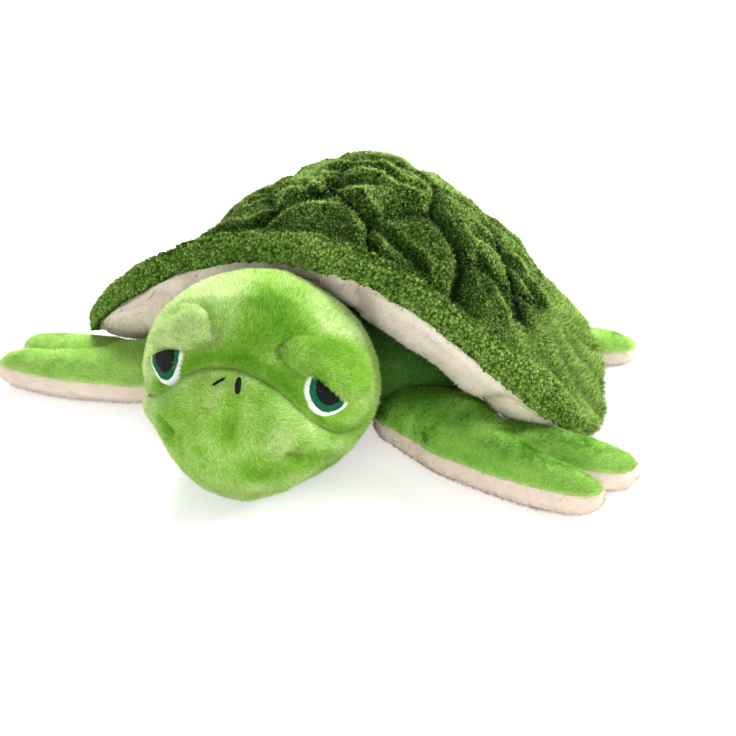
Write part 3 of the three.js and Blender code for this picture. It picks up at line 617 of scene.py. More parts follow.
# The stitched lines: dark thread in stitches of 4 mm along each edge between two scutes.
stitch_length, line_step, stitch_stations, stitch_sides = 4, 0.5, 7, 6
stitch_rings = []
for first in range(len(scute_middles)):
    for second in range(first + 1, len(scute_middles)):
        a, b = scute_middles[first], scute_middles[second]
        along = np.array([a[1] - b[1], b[0] - a[0]]) / np.linalg.norm(a - b)
        line = (a + b) / 2 + np.arange(-60, 60.1, line_step)[:, None] * along
        gaps = np.linalg.norm(line[:, None] - scute_middles, axis=-1)
        shown = gaps[:, first] <= gaps.min(1) + 0.01
        u = (line[:, 0] - shell_slip) / dome_half_width
        v = (dome_middle - line[:, 1]) / np.where(line[:, 1] < dome_middle, dome_front, dome_rear)
        share, angle = np.hypot(u, v), np.arctan2(u, v)
        shown &= share < dome_edge(angle) - 0.015
        if shown.sum() < 10:
            continue
        line, share, angle = line[shown], share[shown], angle[shown]
        laid = dome_skin(share, angle)
        count = max(1, round(len(line) * line_step / stitch_length))
        for start in range(count):
            reach = slice(int(start * len(line) / count), int((start + 1) * len(line) / count) - 1)
            if reach.stop - reach.start > 4:
                stitch_rings.append(laid[np.linspace(reach.start, reach.stop, stitch_stations).astype(int)])
stitches = np.array(stitch_rings)
tangent = unit(np.gradient(stitches, axis=1))
aside = unit(np.cross(tangent, [0, 0, 1]))
over = np.cross(aside, tangent)
arch = np.sin(np.linspace(0.12, np.pi - 0.12, stitch_stations))
turn = full_turn(stitch_sides)[:, None]
thick = (1.1 * arch**0.5)[None, :, None, None]
tube = (
    stitches[:, :, None] + over[:, :, None] * (1.1 * arch + 2.3)[None, :, None, None]
    + thick * (aside[:, :, None] * np.cos(turn) + over[:, :, None] * np.sin(turn) * 0.7)
)
index = np.arange(tube[..., 0].size).reshape(tube.shape[:3])
there = np.roll(index, -1, 2)
quads = np.stack([index[:, 1:], there[:, 1:], there[:, :-1], index[:, :-1]], -1).reshape(-1, 4)
caps = np.concatenate([index[:, 0], index[:, -1, ::-1]])
stitching = put("scute_stitches", tube.reshape(-1, 3), quads.tolist() + caps.tolist())


def thread(name, colour, pale):
    """Embroidery thread: satin that is paler where its field crest is high, a painted highlight on the
    stitches' raised tops.
    """
    paint = bpy.data.materials.new(name)
    sheet = Sheet(paint)
    crest = sheet.node("ShaderNodeAttribute", {"attribute_name": "crest"}, {}, "Fac")
    place = sheet.node("ShaderNodeTexCoord", {}, {}, "Object")
    fine = sheet.node("ShaderNodeTexNoise", {}, {"Vector": place, "Scale": 1400.0, "Detail": 2.0})
    share = crest * 0.8 + (fine - 0.5) * 0.3 + 0.1
    colours = sheet.node("ShaderNodeValToRGB", {"stops": [(0, colour), (1, pale)]}, {0: share})
    bump = sheet.node("ShaderNodeBump", {}, {"Strength": 0.2, "Distance": 0.0002, "Height": fine})
    surface = sheet.node("ShaderNodeBsdfPrincipled", {}, {
        "Base Color": colours, "Roughness": 0.62, "Specular IOR Level": 0.12, "Normal": bump,
    })
    sheet.node("ShaderNodeOutputMaterial", {}, {"Surface": surface})
    return paint


black_thread = thread("black_thread", (0.001, 0.001, 0.001), (0.005, 0.006, 0.006))
mark(stitching, crest=np.tile(np.repeat(arch, stitch_sides), len(stitches)) * 0.5)
dress(stitching, "body", black_thread)


# Brim: a padded hoop round the shell, curly plush over its roll and top and puffed cream plush
# under it. Both strips are sewn along the outer seam, gathered, and turned in at the shell.
brim_width = [0, 0.44, 0.92, 0.98, 0.81, 0.48, 0, -0.48, -0.83, -1.06, -1.01, -0.49]
brim_length = [0, 0.01, 0.15, 0.34, 0.64, 0.9, 1, 0.9, 0.64, 0.35, 0.14, 0.02]
brim_height = [1.04, 0.9, 0.22, 0, 0.15, 0.24, 0.19, 0.06, 0, 0, 0.16, 0.8]
brim_roll = [0.9, 1.3, 1.75, 0.45, 0.3, 0.5, 0.8, 1, 1, 1.1, 1.25, 1.2, 0.9]
brim_half_width, brim_front, brim_rear, brim_arch, brim_roll_height = 150, 5, 234, 98, 17
brim_droop_left, brim_droop_right, strip_depth, strip_sides = 5, 13, 2.5, 480
foot_half_width, foot_front, foot_rear, foot_base, foot_rise = 74, 50, 60, 22, 26
cover_shares, lining_shares = np.linspace(0.002, 0.64, 97), np.linspace(0.74, 0.998, 75)


def closed_curve(points, t):
    """A smooth closed curve through rows of points, at t from 0 to 1 round it: between two
    points it is the cubic whose slopes follow the square roots of the gaps around them."""
    count = points.shape[-2]
    place = np.asarray(t) % 1 * count
    first = place.astype(int)
    w = (place - first)[..., None]
    p0, p1, p2, p3 = (points[..., (first + step) % count, :] for step in (-1, 0, 1, 2))
    d0, d1, d2 = (np.linalg.norm(b - a, axis=-1)[..., None] ** 0.5 for a, b in ((p0, p1), (p1, p2), (p2, p3)))
    slope_in = ((p1 - p0) / d0 - (p2 - p0) / (d0 + d1) + (p2 - p1) / d1) * d1
    slope_out = ((p2 - p1) / d1 - (p3 - p1) / (d1 + d2) + (p3 - p2) / d2) * d1
    rise = p2 - p1
    square, cube = 3 * rise - 2 * slope_in - slope_out, slope_in + slope_out - 2 * rise
    return p1 + slope_in * w + square * w**2 + cube * w**3


def brim_outlines(angle):
    """The brim's outline at each angle as seven points: the outer seam, the roll's nose and
    top, the top's middle, the joint with the dome, the foot inside and the lining's middle."""
    share = np.array(brim_width)
    droop = np.where(share < 0, brim_droop_right, brim_droop_left)
    stations = np.stack([
        shell_slip + brim_half_width * share,
        brim_front + (brim_rear - brim_front) * np.array(brim_length),
        droop + (brim_arch - droop) * np.array(brim_height),
    ], -1)
    seam = closed_curve(stations, angle / (2 * np.pi))
    edge = dome_place(dome_edge(angle), angle)
    out = unit((seam - edge) * [1, 1, 0])
    up = np.array([0, 0, 1.0])
    front = np.cos(angle) > 0
    foot = np.stack([
        shell_slip + foot_half_width * np.sin(angle),
        dome_middle - np.where(front, foot_front, foot_rear) * np.cos(angle),
        foot_base + foot_rise * np.where(front, np.maximum(np.cos(angle), 0) ** 1.6, 0),
    ], -1)
    joint = dome_place(dome_edge(angle) * 0.97, angle) - out * 6
    inner = edge * 0.6 + foot * 0.4 - out * 6
    aside = np.minimum(np.abs(seam[:, 0] - shell_slip) / 52, 1)
    over_head = np.where(front, 1 - aside**2, 0)
    hang = (11 - 13 * over_head + 6 * hump(angle, 1.2, 0.3))[:, None]
    roll_share = eased(brim_roll, angle / (2 * np.pi))[:, None]
    roll = brim_roll_height * roll_share
    sag = (3 + 3 * hump(angle, 0.95, 0.3) - 3 * hump(angle, 3.7, 0.5))[:, None]
    return np.stack([
        seam, seam + out * 3 + up * roll * 0.45, seam - out * 6 * np.minimum(roll_share, 1) + up * roll,
        seam * 0.42 + joint * 0.58 + up * (roll * 0.2 - sag), joint, inner,
        seam * 0.42 + inner * 0.58 - up * hang,
    ], -2)


def side_flap(angle):
    """1 where the brim is a thin flap, at the turtle's left and behind, and 0 elsewhere."""
    return ramp(np.sin(angle - 0.75), 0.25, 0.8)


def brim_strip(name, shares):
    """Sews a strip of the brim: its outlines at the shares, and back inside them at the strip's
    depth. Gives it with its places and normals, each place's angle and share and whether it lies
    outside, and the row that each row lies on or under."""
    angle = full_turn(strip_sides)
    outlines = brim_outlines(angle)
    outer = closed_curve(outlines, shares)
    middle = outlines.mean(1, keepdims=True)
    inward = outer[:, ::-6] - middle
    back = inward * (1 - strip_depth / np.linalg.norm(inward, axis=-1)[..., None]) + middle
    rows = np.arange(len(shares))
    under = np.concatenate([rows, rows[::-6]])
    piece = sew(name, np.concatenate([outer, back], 1))
    places, normals, _ = read(piece)
    along, share_of = np.repeat(angle, len(under)), np.tile(shares[under], len(angle))
    outside = np.tile(np.arange(len(under)) < len(shares), len(angle))
    return piece, places, normals, along, share_of, outside, under


def swell_strip(piece, places, normals, change, under):
    """Moves a strip's outer rows along their normals, and the rows inside them along with them."""
    shift = (normals * change[:, None]).reshape(-1, len(under), 3)
    places += shift[:, under].reshape(-1, 3)
    move(piece, places)


rim_curl = plush(
    "rim_curl_plush", (0.004, 0.016, 0.002), (0.06, 0.15, 0.014), (0.42, 0.64, 0.14), 0.12, 0.8, 0.12, 0.25,
)
brim_cover, places, normals, along, share_of, outside, under = brim_strip("brim_cover", cover_shares)
flap = side_flap(along)
groove = hump(share_of, 0.38, 0.03)
beyond = ramp(share_of, 0.39, 0.44)
edge = scute_edge(places[:, :2])
gather = np.sin(along * 62 + 5 * drift(places, 25, 41)) * hump(share_of, 0.03, 0.09)
on_top = ramp(share_of, 0.05, 0.2) * (1 - ramp(share_of, 0.45, 0.6))
pleat = np.sin(along * 30 + 3 * drift(places, 40, 43)) * flap * on_top
tuck = ramp(share_of, 0.54, 0.62)
scuted = beyond * (1 - flap) * (1 - tuck) * (1.2 * ramp(edge, 0, 9) - 1.6 * hump(edge, 0, 1.7) + 0.6)
lump = (drift(places, 24, 42) * 1.6 + 0.5 * drift(places, 9, 46)) * (1 - tuck) * (1 - 0.8 * flap)
valley = (1 + 3.5 * hump(along, 0.95, 0.3)) * groove * (1 - flap)
drawn_in = (2.4 - 2 * flap) * ramp(share_of, -0.02, 0.06)
change = 0.5 * gather + lump + 1.4 * (pleat + flap) + scuted - valley - drawn_in
swell_strip(brim_cover, places, normals, change, under)
# Painted light and shade: a highlight painted along the roll's top and on the pleats' crests; painted shade in
# the groove behind the roll, in a band on the dome side behind it and where the strip tucks in under the dome;
# the bare skin is painted near the pile's root colour, a painted shade under the knots. The side flap is paler,
# and the tone drifts.
mark(brim_cover, crest=0.05 + 0 * along,
     shade=0.1 * drift(places, 38, 45) + 0.14 * flap + 0.1 * hump(share_of, 0.22, 0.1) - 0.07 - 0.3 * tuck
     - (0.9 * groove + 0.25 * hump(share_of, 0.44, 0.05)) * (1 - flap) + 0.1 * pleat)
dress(brim_cover, "body", rim_curl, ("brim_cover", "brim_filling"))
off_seam = np.tile(np.arange(len(under)) > 0, strip_sides)
shown = outside * off_seam * (share_of < 0.62) * (1 - (edge < 1.2) * (beyond > 0.5) * (flap < 0.3))
shown = shown * (1 - 0.9 * (groove > 0.6) * (flap < 0.3))
for half, way in halves:
    half_shown = shown * (way * np.sin(along) > -0.02) * (1 - flap)
    knots = curls(f"brim_curls_{half}", brim_cover, 2.1, 2.1, half_shown, 50 + way)
    dress(knots, "body", rim_curl)
fuzz = pile("brim_fuzz", brim_cover, 116000, 3.9, 0.46, 0.75, backwards, shown * (1 + flap), 54, wander=2.4)
dress(fuzz, "body", rim_curl)

lining, places, normals, along, share_of, outside, under = brim_strip("brim_lining", lining_shares)
near_seam = ramp(share_of, 0.8, 0.93)
# Creases run in from the seam at these degrees round the brim, with a puff between each two.
crease = 0
for crease_at in (-160, -140, -118, -98, -78, -59, -42, -28, -12, 22, 55, 84, 108, 132, 155, 175):
    away = (np.degrees(along) - crease_at + 180 + 3 * drift(places, 20, 61)) % 360 - 180
    crease = np.maximum(crease, hump(away, 0, 3.2 if abs(crease_at) < 60 else 4.0))
swollen = 4 * hump(share_of, 0.9, 0.06) * ramp(np.cos(along), -0.2, 0.3)
puff = 1.1 * drift(places, 16, 62) + swollen - 4.5 * crease * near_seam - 1.2 - 1.8 * ramp(share_of, 0.96, 0.99)
swell_strip(lining, places, normals, puff * (1 - 0.85 * side_flap(along) * near_seam), under)
# Painted light: the lining is painted paler than the soles' cream, for the light the floor throws up under the
# brim, and painted shade darkens its creases by the seam.
mark(lining, crest=0.6 + 0.2 * drift(places, 2.5, 63),
     shade=0.15 + 0.06 * drift(places, 30, 64) - 0.2 * crease * near_seam)
dress(lining, "body", cream_plush, ("brim_lining",))
locks = pile("brim_lining_pile", lining, 60000, 1.8, 0.65, 0.95, backwards, 1.0 * outside, 65, wander=1.2)
dress(locks, "body", cream_plush)


# Neck: a stuffed knuckle of green plush, sewn to the head in front and to the body behind, that
# the head turns and lifts on.
def globe(rings, sides):
    """Rings of places on a ball of radius 1, from its upper pole to its lower one."""
    fall, turn = np.linspace(0, np.pi, rings + 2)[1:-1, None], full_turn(sides)[None]
    return np.stack([np.sin(fall) * np.cos(turn), np.sin(fall) * np.sin(turn), np.cos(fall) + 0 * turn], -1)


leaf_plush = plush(
    "leaf_plush", (0.05, 0.26, 0.012), (0.21, 0.58, 0.04), (0.6, 0.9, 0.24), 0.52, 0.4, 0.14, 0.25,
)
neck_place, neck_radius = np.array([9, 18, 46]), 25
ball = globe(40, 80)[..., [0, 2, 1]]
neck_rings = neck_place + ball * (neck_radius - 0.8 + 0.8 * drift(ball * neck_radius, 9, 71))[..., None]
neck = sew("neck_sleeve", neck_rings, [neck_place + [0, 24, 0], neck_place - [0, 24, 0]])
places = read(neck)[0]
mark(neck, crest=0.4 + 0.2 * drift(places, 2.5, 72), shade=0.1 * drift(places, 20, 73) - 0.1)
dress(neck, "neck", leaf_plush, ("neck_sleeve", "neck_filling"))


# Head: a round stuffed head of lime plush. The muzzle panel is let into the face along an arched
# seam, and the chin's underside is a panel of its own; all three are closed over one filling.
head_place, face_turn, face_lean = np.array([9, -30, 52]), math.radians(16.5), math.radians(7.5)
face_middle = np.array([0, -12, -16.0])
cloth_thickness = 0.0016
head_swells = (
    ((0, 0, 0), (62, 55, 55)),
    ((0, -26, -11), (44, 43.5, 43)),
    ((0, -8, -30), (44, 41, 23)),
)


def to_head(places):
    """From the face's own frame to the head's place: leant about Y, then turned about Z."""
    x, y, z = np.moveaxis(places, -1, 0)
    x, z = x * math.cos(face_lean) + z * math.sin(face_lean), z * math.cos(face_lean) - x * math.sin(face_lean)
    x, y = x * math.cos(face_turn) - y * math.sin(face_turn), x * math.sin(face_turn) + y * math.cos(face_turn)
    return np.stack([x, y, z], -1) + head_place


def head_reach(way):
    """How far the head's skin is from its inner middle each way: the far crossings with the
    three swells, blended as 2.4 x log of the sum of exp(crossing / 2.4)."""
    total = 0
    for middle, radii in head_swells:
        start, ray = (face_middle - middle) / np.array(radii), way / np.array(radii)
        a, b, c = (ray * ray).sum(-1), (ray * start).sum(-1), (start * start).sum() - 1
        total = total + np.exp(((np.sqrt(b * b - a * c) - b) / a - 50) / 2.4)
    return 50 + 2.4 * np.log(total)


muzzle_line = np.array([
    (-66, -22), (-54, -12), (-46, -4), (-38, 6), (-30, 15), (-21, 22), (-12, 25), (-2, 26.5), (7, 25),
    (16, 21.5), (25, 16), (34, 7.5), (42, -1), (50, -8), (58, -14), (66, -18),
])


def muzzle_seam(places):
    """Signed distance from the muzzle's seam, less below it: the seam's height over the face
    is a smooth line of the place across, and it ends where the cheek seam comes down."""
    across = places[..., 0]
    level = sum(np.interp(across + step, *muzzle_line.T) for step in (-4, -2, 0, 2, 4)) / 5
    slope = (np.interp(across + 2, *muzzle_line.T) - np.interp(across - 2, *muzzle_line.T)) / 4
    return (places[..., 2] - level) / np.hypot(1, slope)


def cheek_seam(places):
    """Signed distance from the seam that comes down each cheek, less in front of it."""
    return places[..., 1] + 3 + 10 * ramp(-places[..., 2], -10, 16)


brow_outlines = {
    "left": np.array([
        (16, -40, 35), (20, -34, 39), (25, -30.5, 40.5), (32, -26, 40), (41, -17.5, 38), (49, -9, 32),
        (55.5, -7, 23), (58.5, -14, 12), (51, -29.5, 10), (44.5, -34.5, 16.5), (36, -38, 23.5), (28, -41, 27),
        (21, -41.7, 31),
    ], float),
    "right": np.array([
        (-19.5, -40, 33.5), (-20, -36.5, 37), (-23, -31.5, 40.3), (-27.5, -25.5, 42), (-34, -19.5, 41),
        (-41, -15.5, 38), (-50, -13, 30), (-54.5, -16, 22), (-54, -23, 18), (-46.5, -29.5, 21),
        (-40, -34, 23.5), (-34.5, -38, 25.5), (-27, -39.5, 29.5),
    ], float),
}
face_dents = (
    ((31, -56, -11.5), (4, 9, 3.2), 5.5), ((35.5, -51, -14), (5, 9, 3), 5), ((41, -40, -20), (7, 10, 3), 4),
    ((29, -56, -18), (3, 9, 5), 2.5), ((26, -56, -26), (3.2, 9, 6), 2.2), ((20, -55, -34), (4, 9, 5), 1.8),
    ((-33, -54, -12), (4, 9, 3.6), 5.5), ((-39, -47, -10), (5, 10, 3), 4),
    ((-29, -57, -18), (3, 9, 6), 2.5), ((-26, -56, -27), (3.5, 9, 6), 2),
    ((0, -65, 4), (3.6, 12, 8), 3.2), ((18, -62, -22), (8, 12, 4), 1.2),
    ((12, -47, 29), (2.2, 6, 3.5), 2), ((17, -38, 37), (3, 8, 4), 3), ((-17, -38, 37), (3, 8, 4), 3),
    ((6, -46, 28), (14, 12, 5), 1),
    ((-14, -60, -8), (13, 14, 14), -1.4), ((17, -60, -4), (14, 14, 12), -1.4),
    ((2, -62, -28), (18, 14, 9), -2.2),
)


def face_skin(way, proud=0):
    """A place on the face each way: the reach moved by seams, dents and puffs, tucks round the
    brow pads and drifts."""
    way = unit(way)
    reach = head_reach(way)
    plain = face_middle + way * reach[..., None]
    seam, cheek = muzzle_seam(plain), cheek_seam(plain)
    front = ramp(-cheek, 0, 6)
    change = front * (-4.8 * hump(seam, 0.5, 2.2) - 1.4 * hump(seam, 7, 6) + 2.8 * hump(seam, -7, 6.5))
    down_cheek = ramp(20 - plain[..., 2], 0, 8) * ramp(plain[..., 2] + 40, 0, 12)
    change = change - 1.4 * hump(cheek, 0, 1.6) * down_cheek
    for spot, width, depth in face_dents:
        change = change - depth * blob(plain, spot, width)
    for brow in brow_outlines.values():
        rim = closed_curve(brow, np.arange(40) / 40)
        change = change - 1.8 * hump(np.linalg.norm(plain[..., None, :] - rim, axis=-1).min(-1), 0, 2.2)
    change = change + 1.1 * drift(plain, 24, 81) + 0.5 * drift(plain, 9, 82) - 2.4
    return face_middle + way * (reach + change + proud)[..., None]


way = globe(180, 320)[..., [1, 0, 2]] * [1, -1, 1]
face_rings = face_skin(way)
poles = face_skin(np.array([(0, 0, 1.0), (0, 0, -1.0)]))
head_rings, head_poles = to_head(face_rings), to_head(poles)
# The chin is pressed flat on the table: heights under 4 mm are squeezed in above it.
for rings in (head_rings, head_poles):
    low = rings[..., 2]
    rings[..., 2] = np.where(low < 4, 4 * np.exp(np.minimum(low - 4, 0) / 4), low)
whole = sew("head_whole", head_rings, head_poles)
places, normals, _ = read(whole)
in_face = np.concatenate([face_rings.reshape(-1, 3), poles])
eye_place, lid_slope = (43.4, 35.3, 18.2), math.radians(40)
covered = np.zeros(len(places))
for half, side in halves:
    gap = in_face - face_skin(np.array([side, -1, 1]) * eye_place - face_middle)
    slope = math.sin(lid_slope) * side * np.hypot(gap[:, 0], gap[:, 1]) * np.sign(gap[:, 0])
    slope = slope - math.cos(lid_slope) * gap[:, 2]
    covered = np.maximum(covered, (np.linalg.norm(gap, axis=1) < 14) * (slope > -4))
    covered = np.maximum(covered, np.linalg.norm(in_face - brow_outlines[half].mean(0), axis=1) < 13)
lime_plush = plush(
    "lime_plush", (0.08, 0.34, 0.01), (0.3, 0.62, 0.05), (0.8, 0.96, 0.46), 0.28, 0.42, 0.14, 0.25,
)
# The head's shade field: a drifting tone, darker on the crown and down the forehead where the pile is brushed
# against the nap; painted shade in the dent under the nostrils, in the dimples by the mouth and under the left
# brow pad; painted light on the top and sides of the head, on the muzzle's side and on its underside, as if lit
# from above, behind and below.
nap_tone_and_painted_light = 0.16 * drift(in_face, 16, 83) + 0.14 * drift(in_face, 6, 84)
for spot, width, depth in (
    ((10, -26, 47), (15, 16, 14), 0.6), ((8, -40, 36), (13, 9, 8), 0.25), ((0, -63, 4), (5, 12, 12), 0.4),
    ((18, -62, -20), (9, 12, 6), 0.3), ((38, -47, -18), (12, 14, 6), 0.35),
    ((36, -36, 24), (14, 12, 6), 0.12), ((-34, -54, -12), (8, 12, 8), 0.3),
    ((-34, -8, 40), (26, 30, 24), -0.4), ((-52, -22, 0), (16, 22, 30), -0.3),
    ((34, -6, 40), (14, 24, 16), -0.2), ((0, -52, -40), (30, 20, 12), -0.15),
    ((24, -58, -4), (10, 12, 12), -0.12),
):
    nap_tone_and_painted_light = nap_tone_and_painted_light - depth * blob(in_face, spot, width)
# Painted shade along the muzzle's seam groove, where the pile also parts.
seam_painted_shade = hump(muzzle_seam(in_face), 0.5, 2.4) * (cheek_seam(in_face) < 0)
fields = {"crest": 0.3 + 0.15 * drift(places, 2.4, 85), "shade": nap_tone_and_painted_light - 0.4 * seam_painted_shade}
faces = [tuple(face.vertices) for face in whole.data.polygons]
face_centre = np.array([in_face[list(face)].mean(0) for face in faces])
height = np.array([places[list(face), 2].mean() for face in faces])
in_muzzle = (muzzle_seam(face_centre) < 0) & (cheek_seam(face_centre) < 0)
panel_of = np.where(height < 10, 2, np.where(in_muzzle, 1, 0))


def face_nap(root):
    """The nap runs back from the nose over the face, and down at its sides."""
    return root - to_head(np.array([-3, -70, 4.0])) + [0, 0, -8]


for number, (panel, node_names, count, length) in enumerate((
    ("head_face", ("head_face_panel", "head_filling"), 114000, 2.8),
    ("muzzle", ("muzzle_panel",), 70000, 2.2),
    ("chin", ("chin_panel",), 12000, 2.2),
)):
    own = np.flatnonzero(panel_of == number)
    used = sorted({corner for face in own for corner in faces[face]})
    renamed = {old: new for new, old in enumerate(used)}
    skin = put(panel, places[used], [[renamed[c] for c in faces[face]] for face in own],
               {key: values[used] for key, values in fields.items()})
    dress(skin, "head", lime_plush, node_names)
    bare = 1 - covered[used]
    locks = pile(f"{panel}_pile", skin, count, length, 0.46, 0.95, face_nap, bare, 86 + number, wander=0.6)
    dress(locks, "head", lime_plush)
    wall = skin.modifiers.new("cloth", "SOLIDIFY")
    wall.thickness, wall.offset = cloth_thickness, -1
bpy.data.objects.remove(whole)


def on_face(place, x, z, proud):
    """Places on the face: x across and z up in the plane that touches it at a place, given apart,
    forward and up, thrown towards the head's middle onto the skin, and proud of it."""
    apart, forward, upwards = place
    turn, lift = math.atan2(apart, forward), math.atan2(upwards, math.hypot(apart, forward))
    across = np.array([math.cos(turn), math.sin(turn), 0])
    over = np.array([-math.sin(turn) * math.sin(lift), math.cos(turn) * math.sin(lift), math.cos(lift)])
    flat = np.array([apart, -forward, upwards]) + x[..., None] * across + z[..., None] * over
    return to_head(face_skin(flat - face_middle, proud))


# Brow pads: a padded lid of lime plush over each eye, sewn down along its upper edge so that its
# lower edge hangs straight across the eye.
brow_sides, top_rows, foot_rows, brow_foot = 140, 34, 6, -2.5
for name, side in halves:
    outline = closed_curve(brow_outlines[name], np.arange(brow_sides) / brow_sides)
    brow_middle = outline.mean(0)
    share = np.concatenate([np.linspace(0.03, 1, top_rows), np.linspace(0.98, 0.05, foot_rows)])[:, None]
    upper = np.repeat([1, 0], [top_rows, foot_rows])[:, None]
    away = outline - brow_middle
    spread = brow_middle + share[..., None] * away
    lidward = -(0.6 * side * away[:, 0] + 0.8 * away[:, 2]) * share / 12
    puff = (4.6 + 2.2 * ramp(lidward, -0.6, 0.9)) * (1 - share**5) ** 0.5 - 1.2
    puff = puff + 0.7 * drift(spread, 9, 96 + side) - 1.1 * hump(lidward, -0.25, 0.18) * (1 - share**2)
    proud = np.where(upper > 0, puff, brow_foot)
    rings = to_head(face_skin(spread - face_middle, proud))
    end = to_head(face_skin(np.stack([brow_middle, brow_middle]) - face_middle, np.array([4.6, brow_foot])))
    pad = sew(f"{name}_brow_pad", rings, end)
    places, normals, _ = read(pad)
    toward = np.append(lidward, [0, 0])
    rim = np.append(np.repeat(share, brow_sides), [0, 0])
    # Painted light and shade: on the left pad a highlight along the upper fold, painted shade over its middle,
    # which faces down, and paler towards the lid's edge; the right pad is painted paler all over and darker at
    # its rim.
    if side > 0:
        tone = 0.2 * ramp(rim, 0.75, 1) * ramp(-toward, 0, 0.5)
        tone = tone - 0.3 * hump(toward, -0.1, 0.5) + 0.1 * ramp(toward, 0.3, 0.9)
    else:
        tone = 0.3 + 0.1 * drift(places, 12, 90) - 0.15 * ramp(rim, 0.85, 1)
    mark(pad, crest=0.3 + 0.15 * drift(places, 2.4, 91), shade=0.12 * drift(places, 9, 92) + tone)
    dress(pad, "head", lime_plush, (f"{name}_brow_pad",))
    shown = np.append(np.repeat(upper, brow_sides), [1, 0])
    locks = pile(f"{name}_brow_pile", pad, 12000, 2.8, 0.5, 0.9, face_nap, shown, 93 + side, wander=0.7)
    dress(locks, "head", lime_plush)


# Eyes: embroidered half discs under the sloping lids, in satin stitch that runs out from the
# middle: a white rim, a green iris and a black pupil, each layer a little prouder.
white_thread = thread("white_thread", (0.76, 0.83, 0.83), (0.95, 0.97, 0.97))
green_thread = thread("green_thread", (0.002, 0.06, 0.028), (0.004, 0.15, 0.065))
patch_foot, arc_share, patch_sides = -1.2, 0.78, 170
for name, side in halves:
    eye = (side * eye_place[0], *eye_place[1:])
    cos_lid, sin_lid = math.cos(side * lid_slope), math.sin(side * lid_slope)
    for layer, radius, shift, height, pitch, paint, slot in (
        ("eye_white", 14.2, 0, 1.5, 1.1, white_thread, "white_thread"),
        ("iris", 12, 0.3, 2.1, 0.9, green_thread, "green_thread"),
        ("pupil", 8.6, 0, 2.6, 0.9, black_thread, "black_thread"),
    ):
        around = np.arange(patch_sides) / patch_sides
        arc = np.pi + np.pi * np.minimum(around / arc_share, 1)
        line = np.clip((around - arc_share) / (1 - arc_share), 0, 1)
        stitch = np.floor(arc * radius / pitch)
        tooth = 0.35 * (hashed(np.stack([stitch, stitch * 0 + radius, stitch * 0 + side], -1), 95) - 0.5)
        rim_x = (radius + tooth) * np.cos(arc) * (1 - 2 * line)
        rim_z = (radius + tooth) * np.sin(arc) * (line == 0) + 2.2 * (line > 0)
        share = np.append(np.linspace(0.03, 1, 11), 1)[:, None]
        middle_x, middle_z = side * shift, -0.3 * radius
        x = (rim_x * share + middle_x) * (1 if side > 0 else 0.88)
        z = middle_z + (rim_z - middle_z) * share
        ridge = np.abs(np.sin(arc * radius / pitch * np.pi))[None]
        proud = height - 0.35 * share**10 + 0.2 * ridge * share
        proud[-1] = patch_foot
        rings = on_face(eye, x * cos_lid + z * sin_lid, z * cos_lid - x * sin_lid, proud)
        x, z = np.full(2, middle_x), np.full(2, middle_z)
        end_proud = np.array([height, patch_foot])
        ends = on_face(eye, x * cos_lid + z * sin_lid, z * cos_lid - x * sin_lid, end_proud)
        patch = sew(f"{name}_{layer}", rings, ends)
        mark(patch, crest=0.9 * np.append(np.tile(ridge, (len(share), 1)), [0.5, 0.5]))
        dress(patch, "head", paint, (f"{name}_{layer}",))

# Nostrils: two stitches of black thread at the muzzle's top, one short and one long.
fall, turn = np.linspace(0, np.pi, 26)[1:-1, None], full_turn(24)[None]
for name, apart, tall, wide, tilt in (("left", 1.2, 4.2, 1.3, -0.12), ("right", -7.6, 2.6, 0.8, 0.75)):
    z = tall * np.cos(fall) + 0 * turn
    x = wide * np.sin(fall) ** 0.6 * np.cos(turn) + z * tilt
    proud = 1.6 + 1.1 * np.sin(fall) ** 0.6 * np.sin(turn) + 0.2 * np.sin(fall * 9)
    end_z = np.array([tall, -tall])
    ends = on_face((apart, 53, 16.5), end_z * tilt, end_z, np.full(2, 1.6))
    stitch = sew(f"{name}_nostril", on_face((apart, 53, 16.5), x, z, proud), ends)
    mark(stitch, crest=np.full(len(stitch.data.vertices), 0.2))
    dress(stitch, "head", black_thread, (f"{name}_nostril_stitch",))


# Flippers and tail: flat stuffed mittens, green plush above and cream plush below, sewn together
# along a level seam, turned and lightly filled. Each is round where it sits in the body's side.
def oval(middle, radius, rise, rings=30, sides=48):
    """Rings and poles of an oval pad round a middle: radius across, rise up and down."""
    poles = [np.array(middle) + [0, 0, rise], np.array(middle) - [0, 0, rise]]
    return np.array(middle) + globe(rings, sides) * [radius, radius, rise], poles


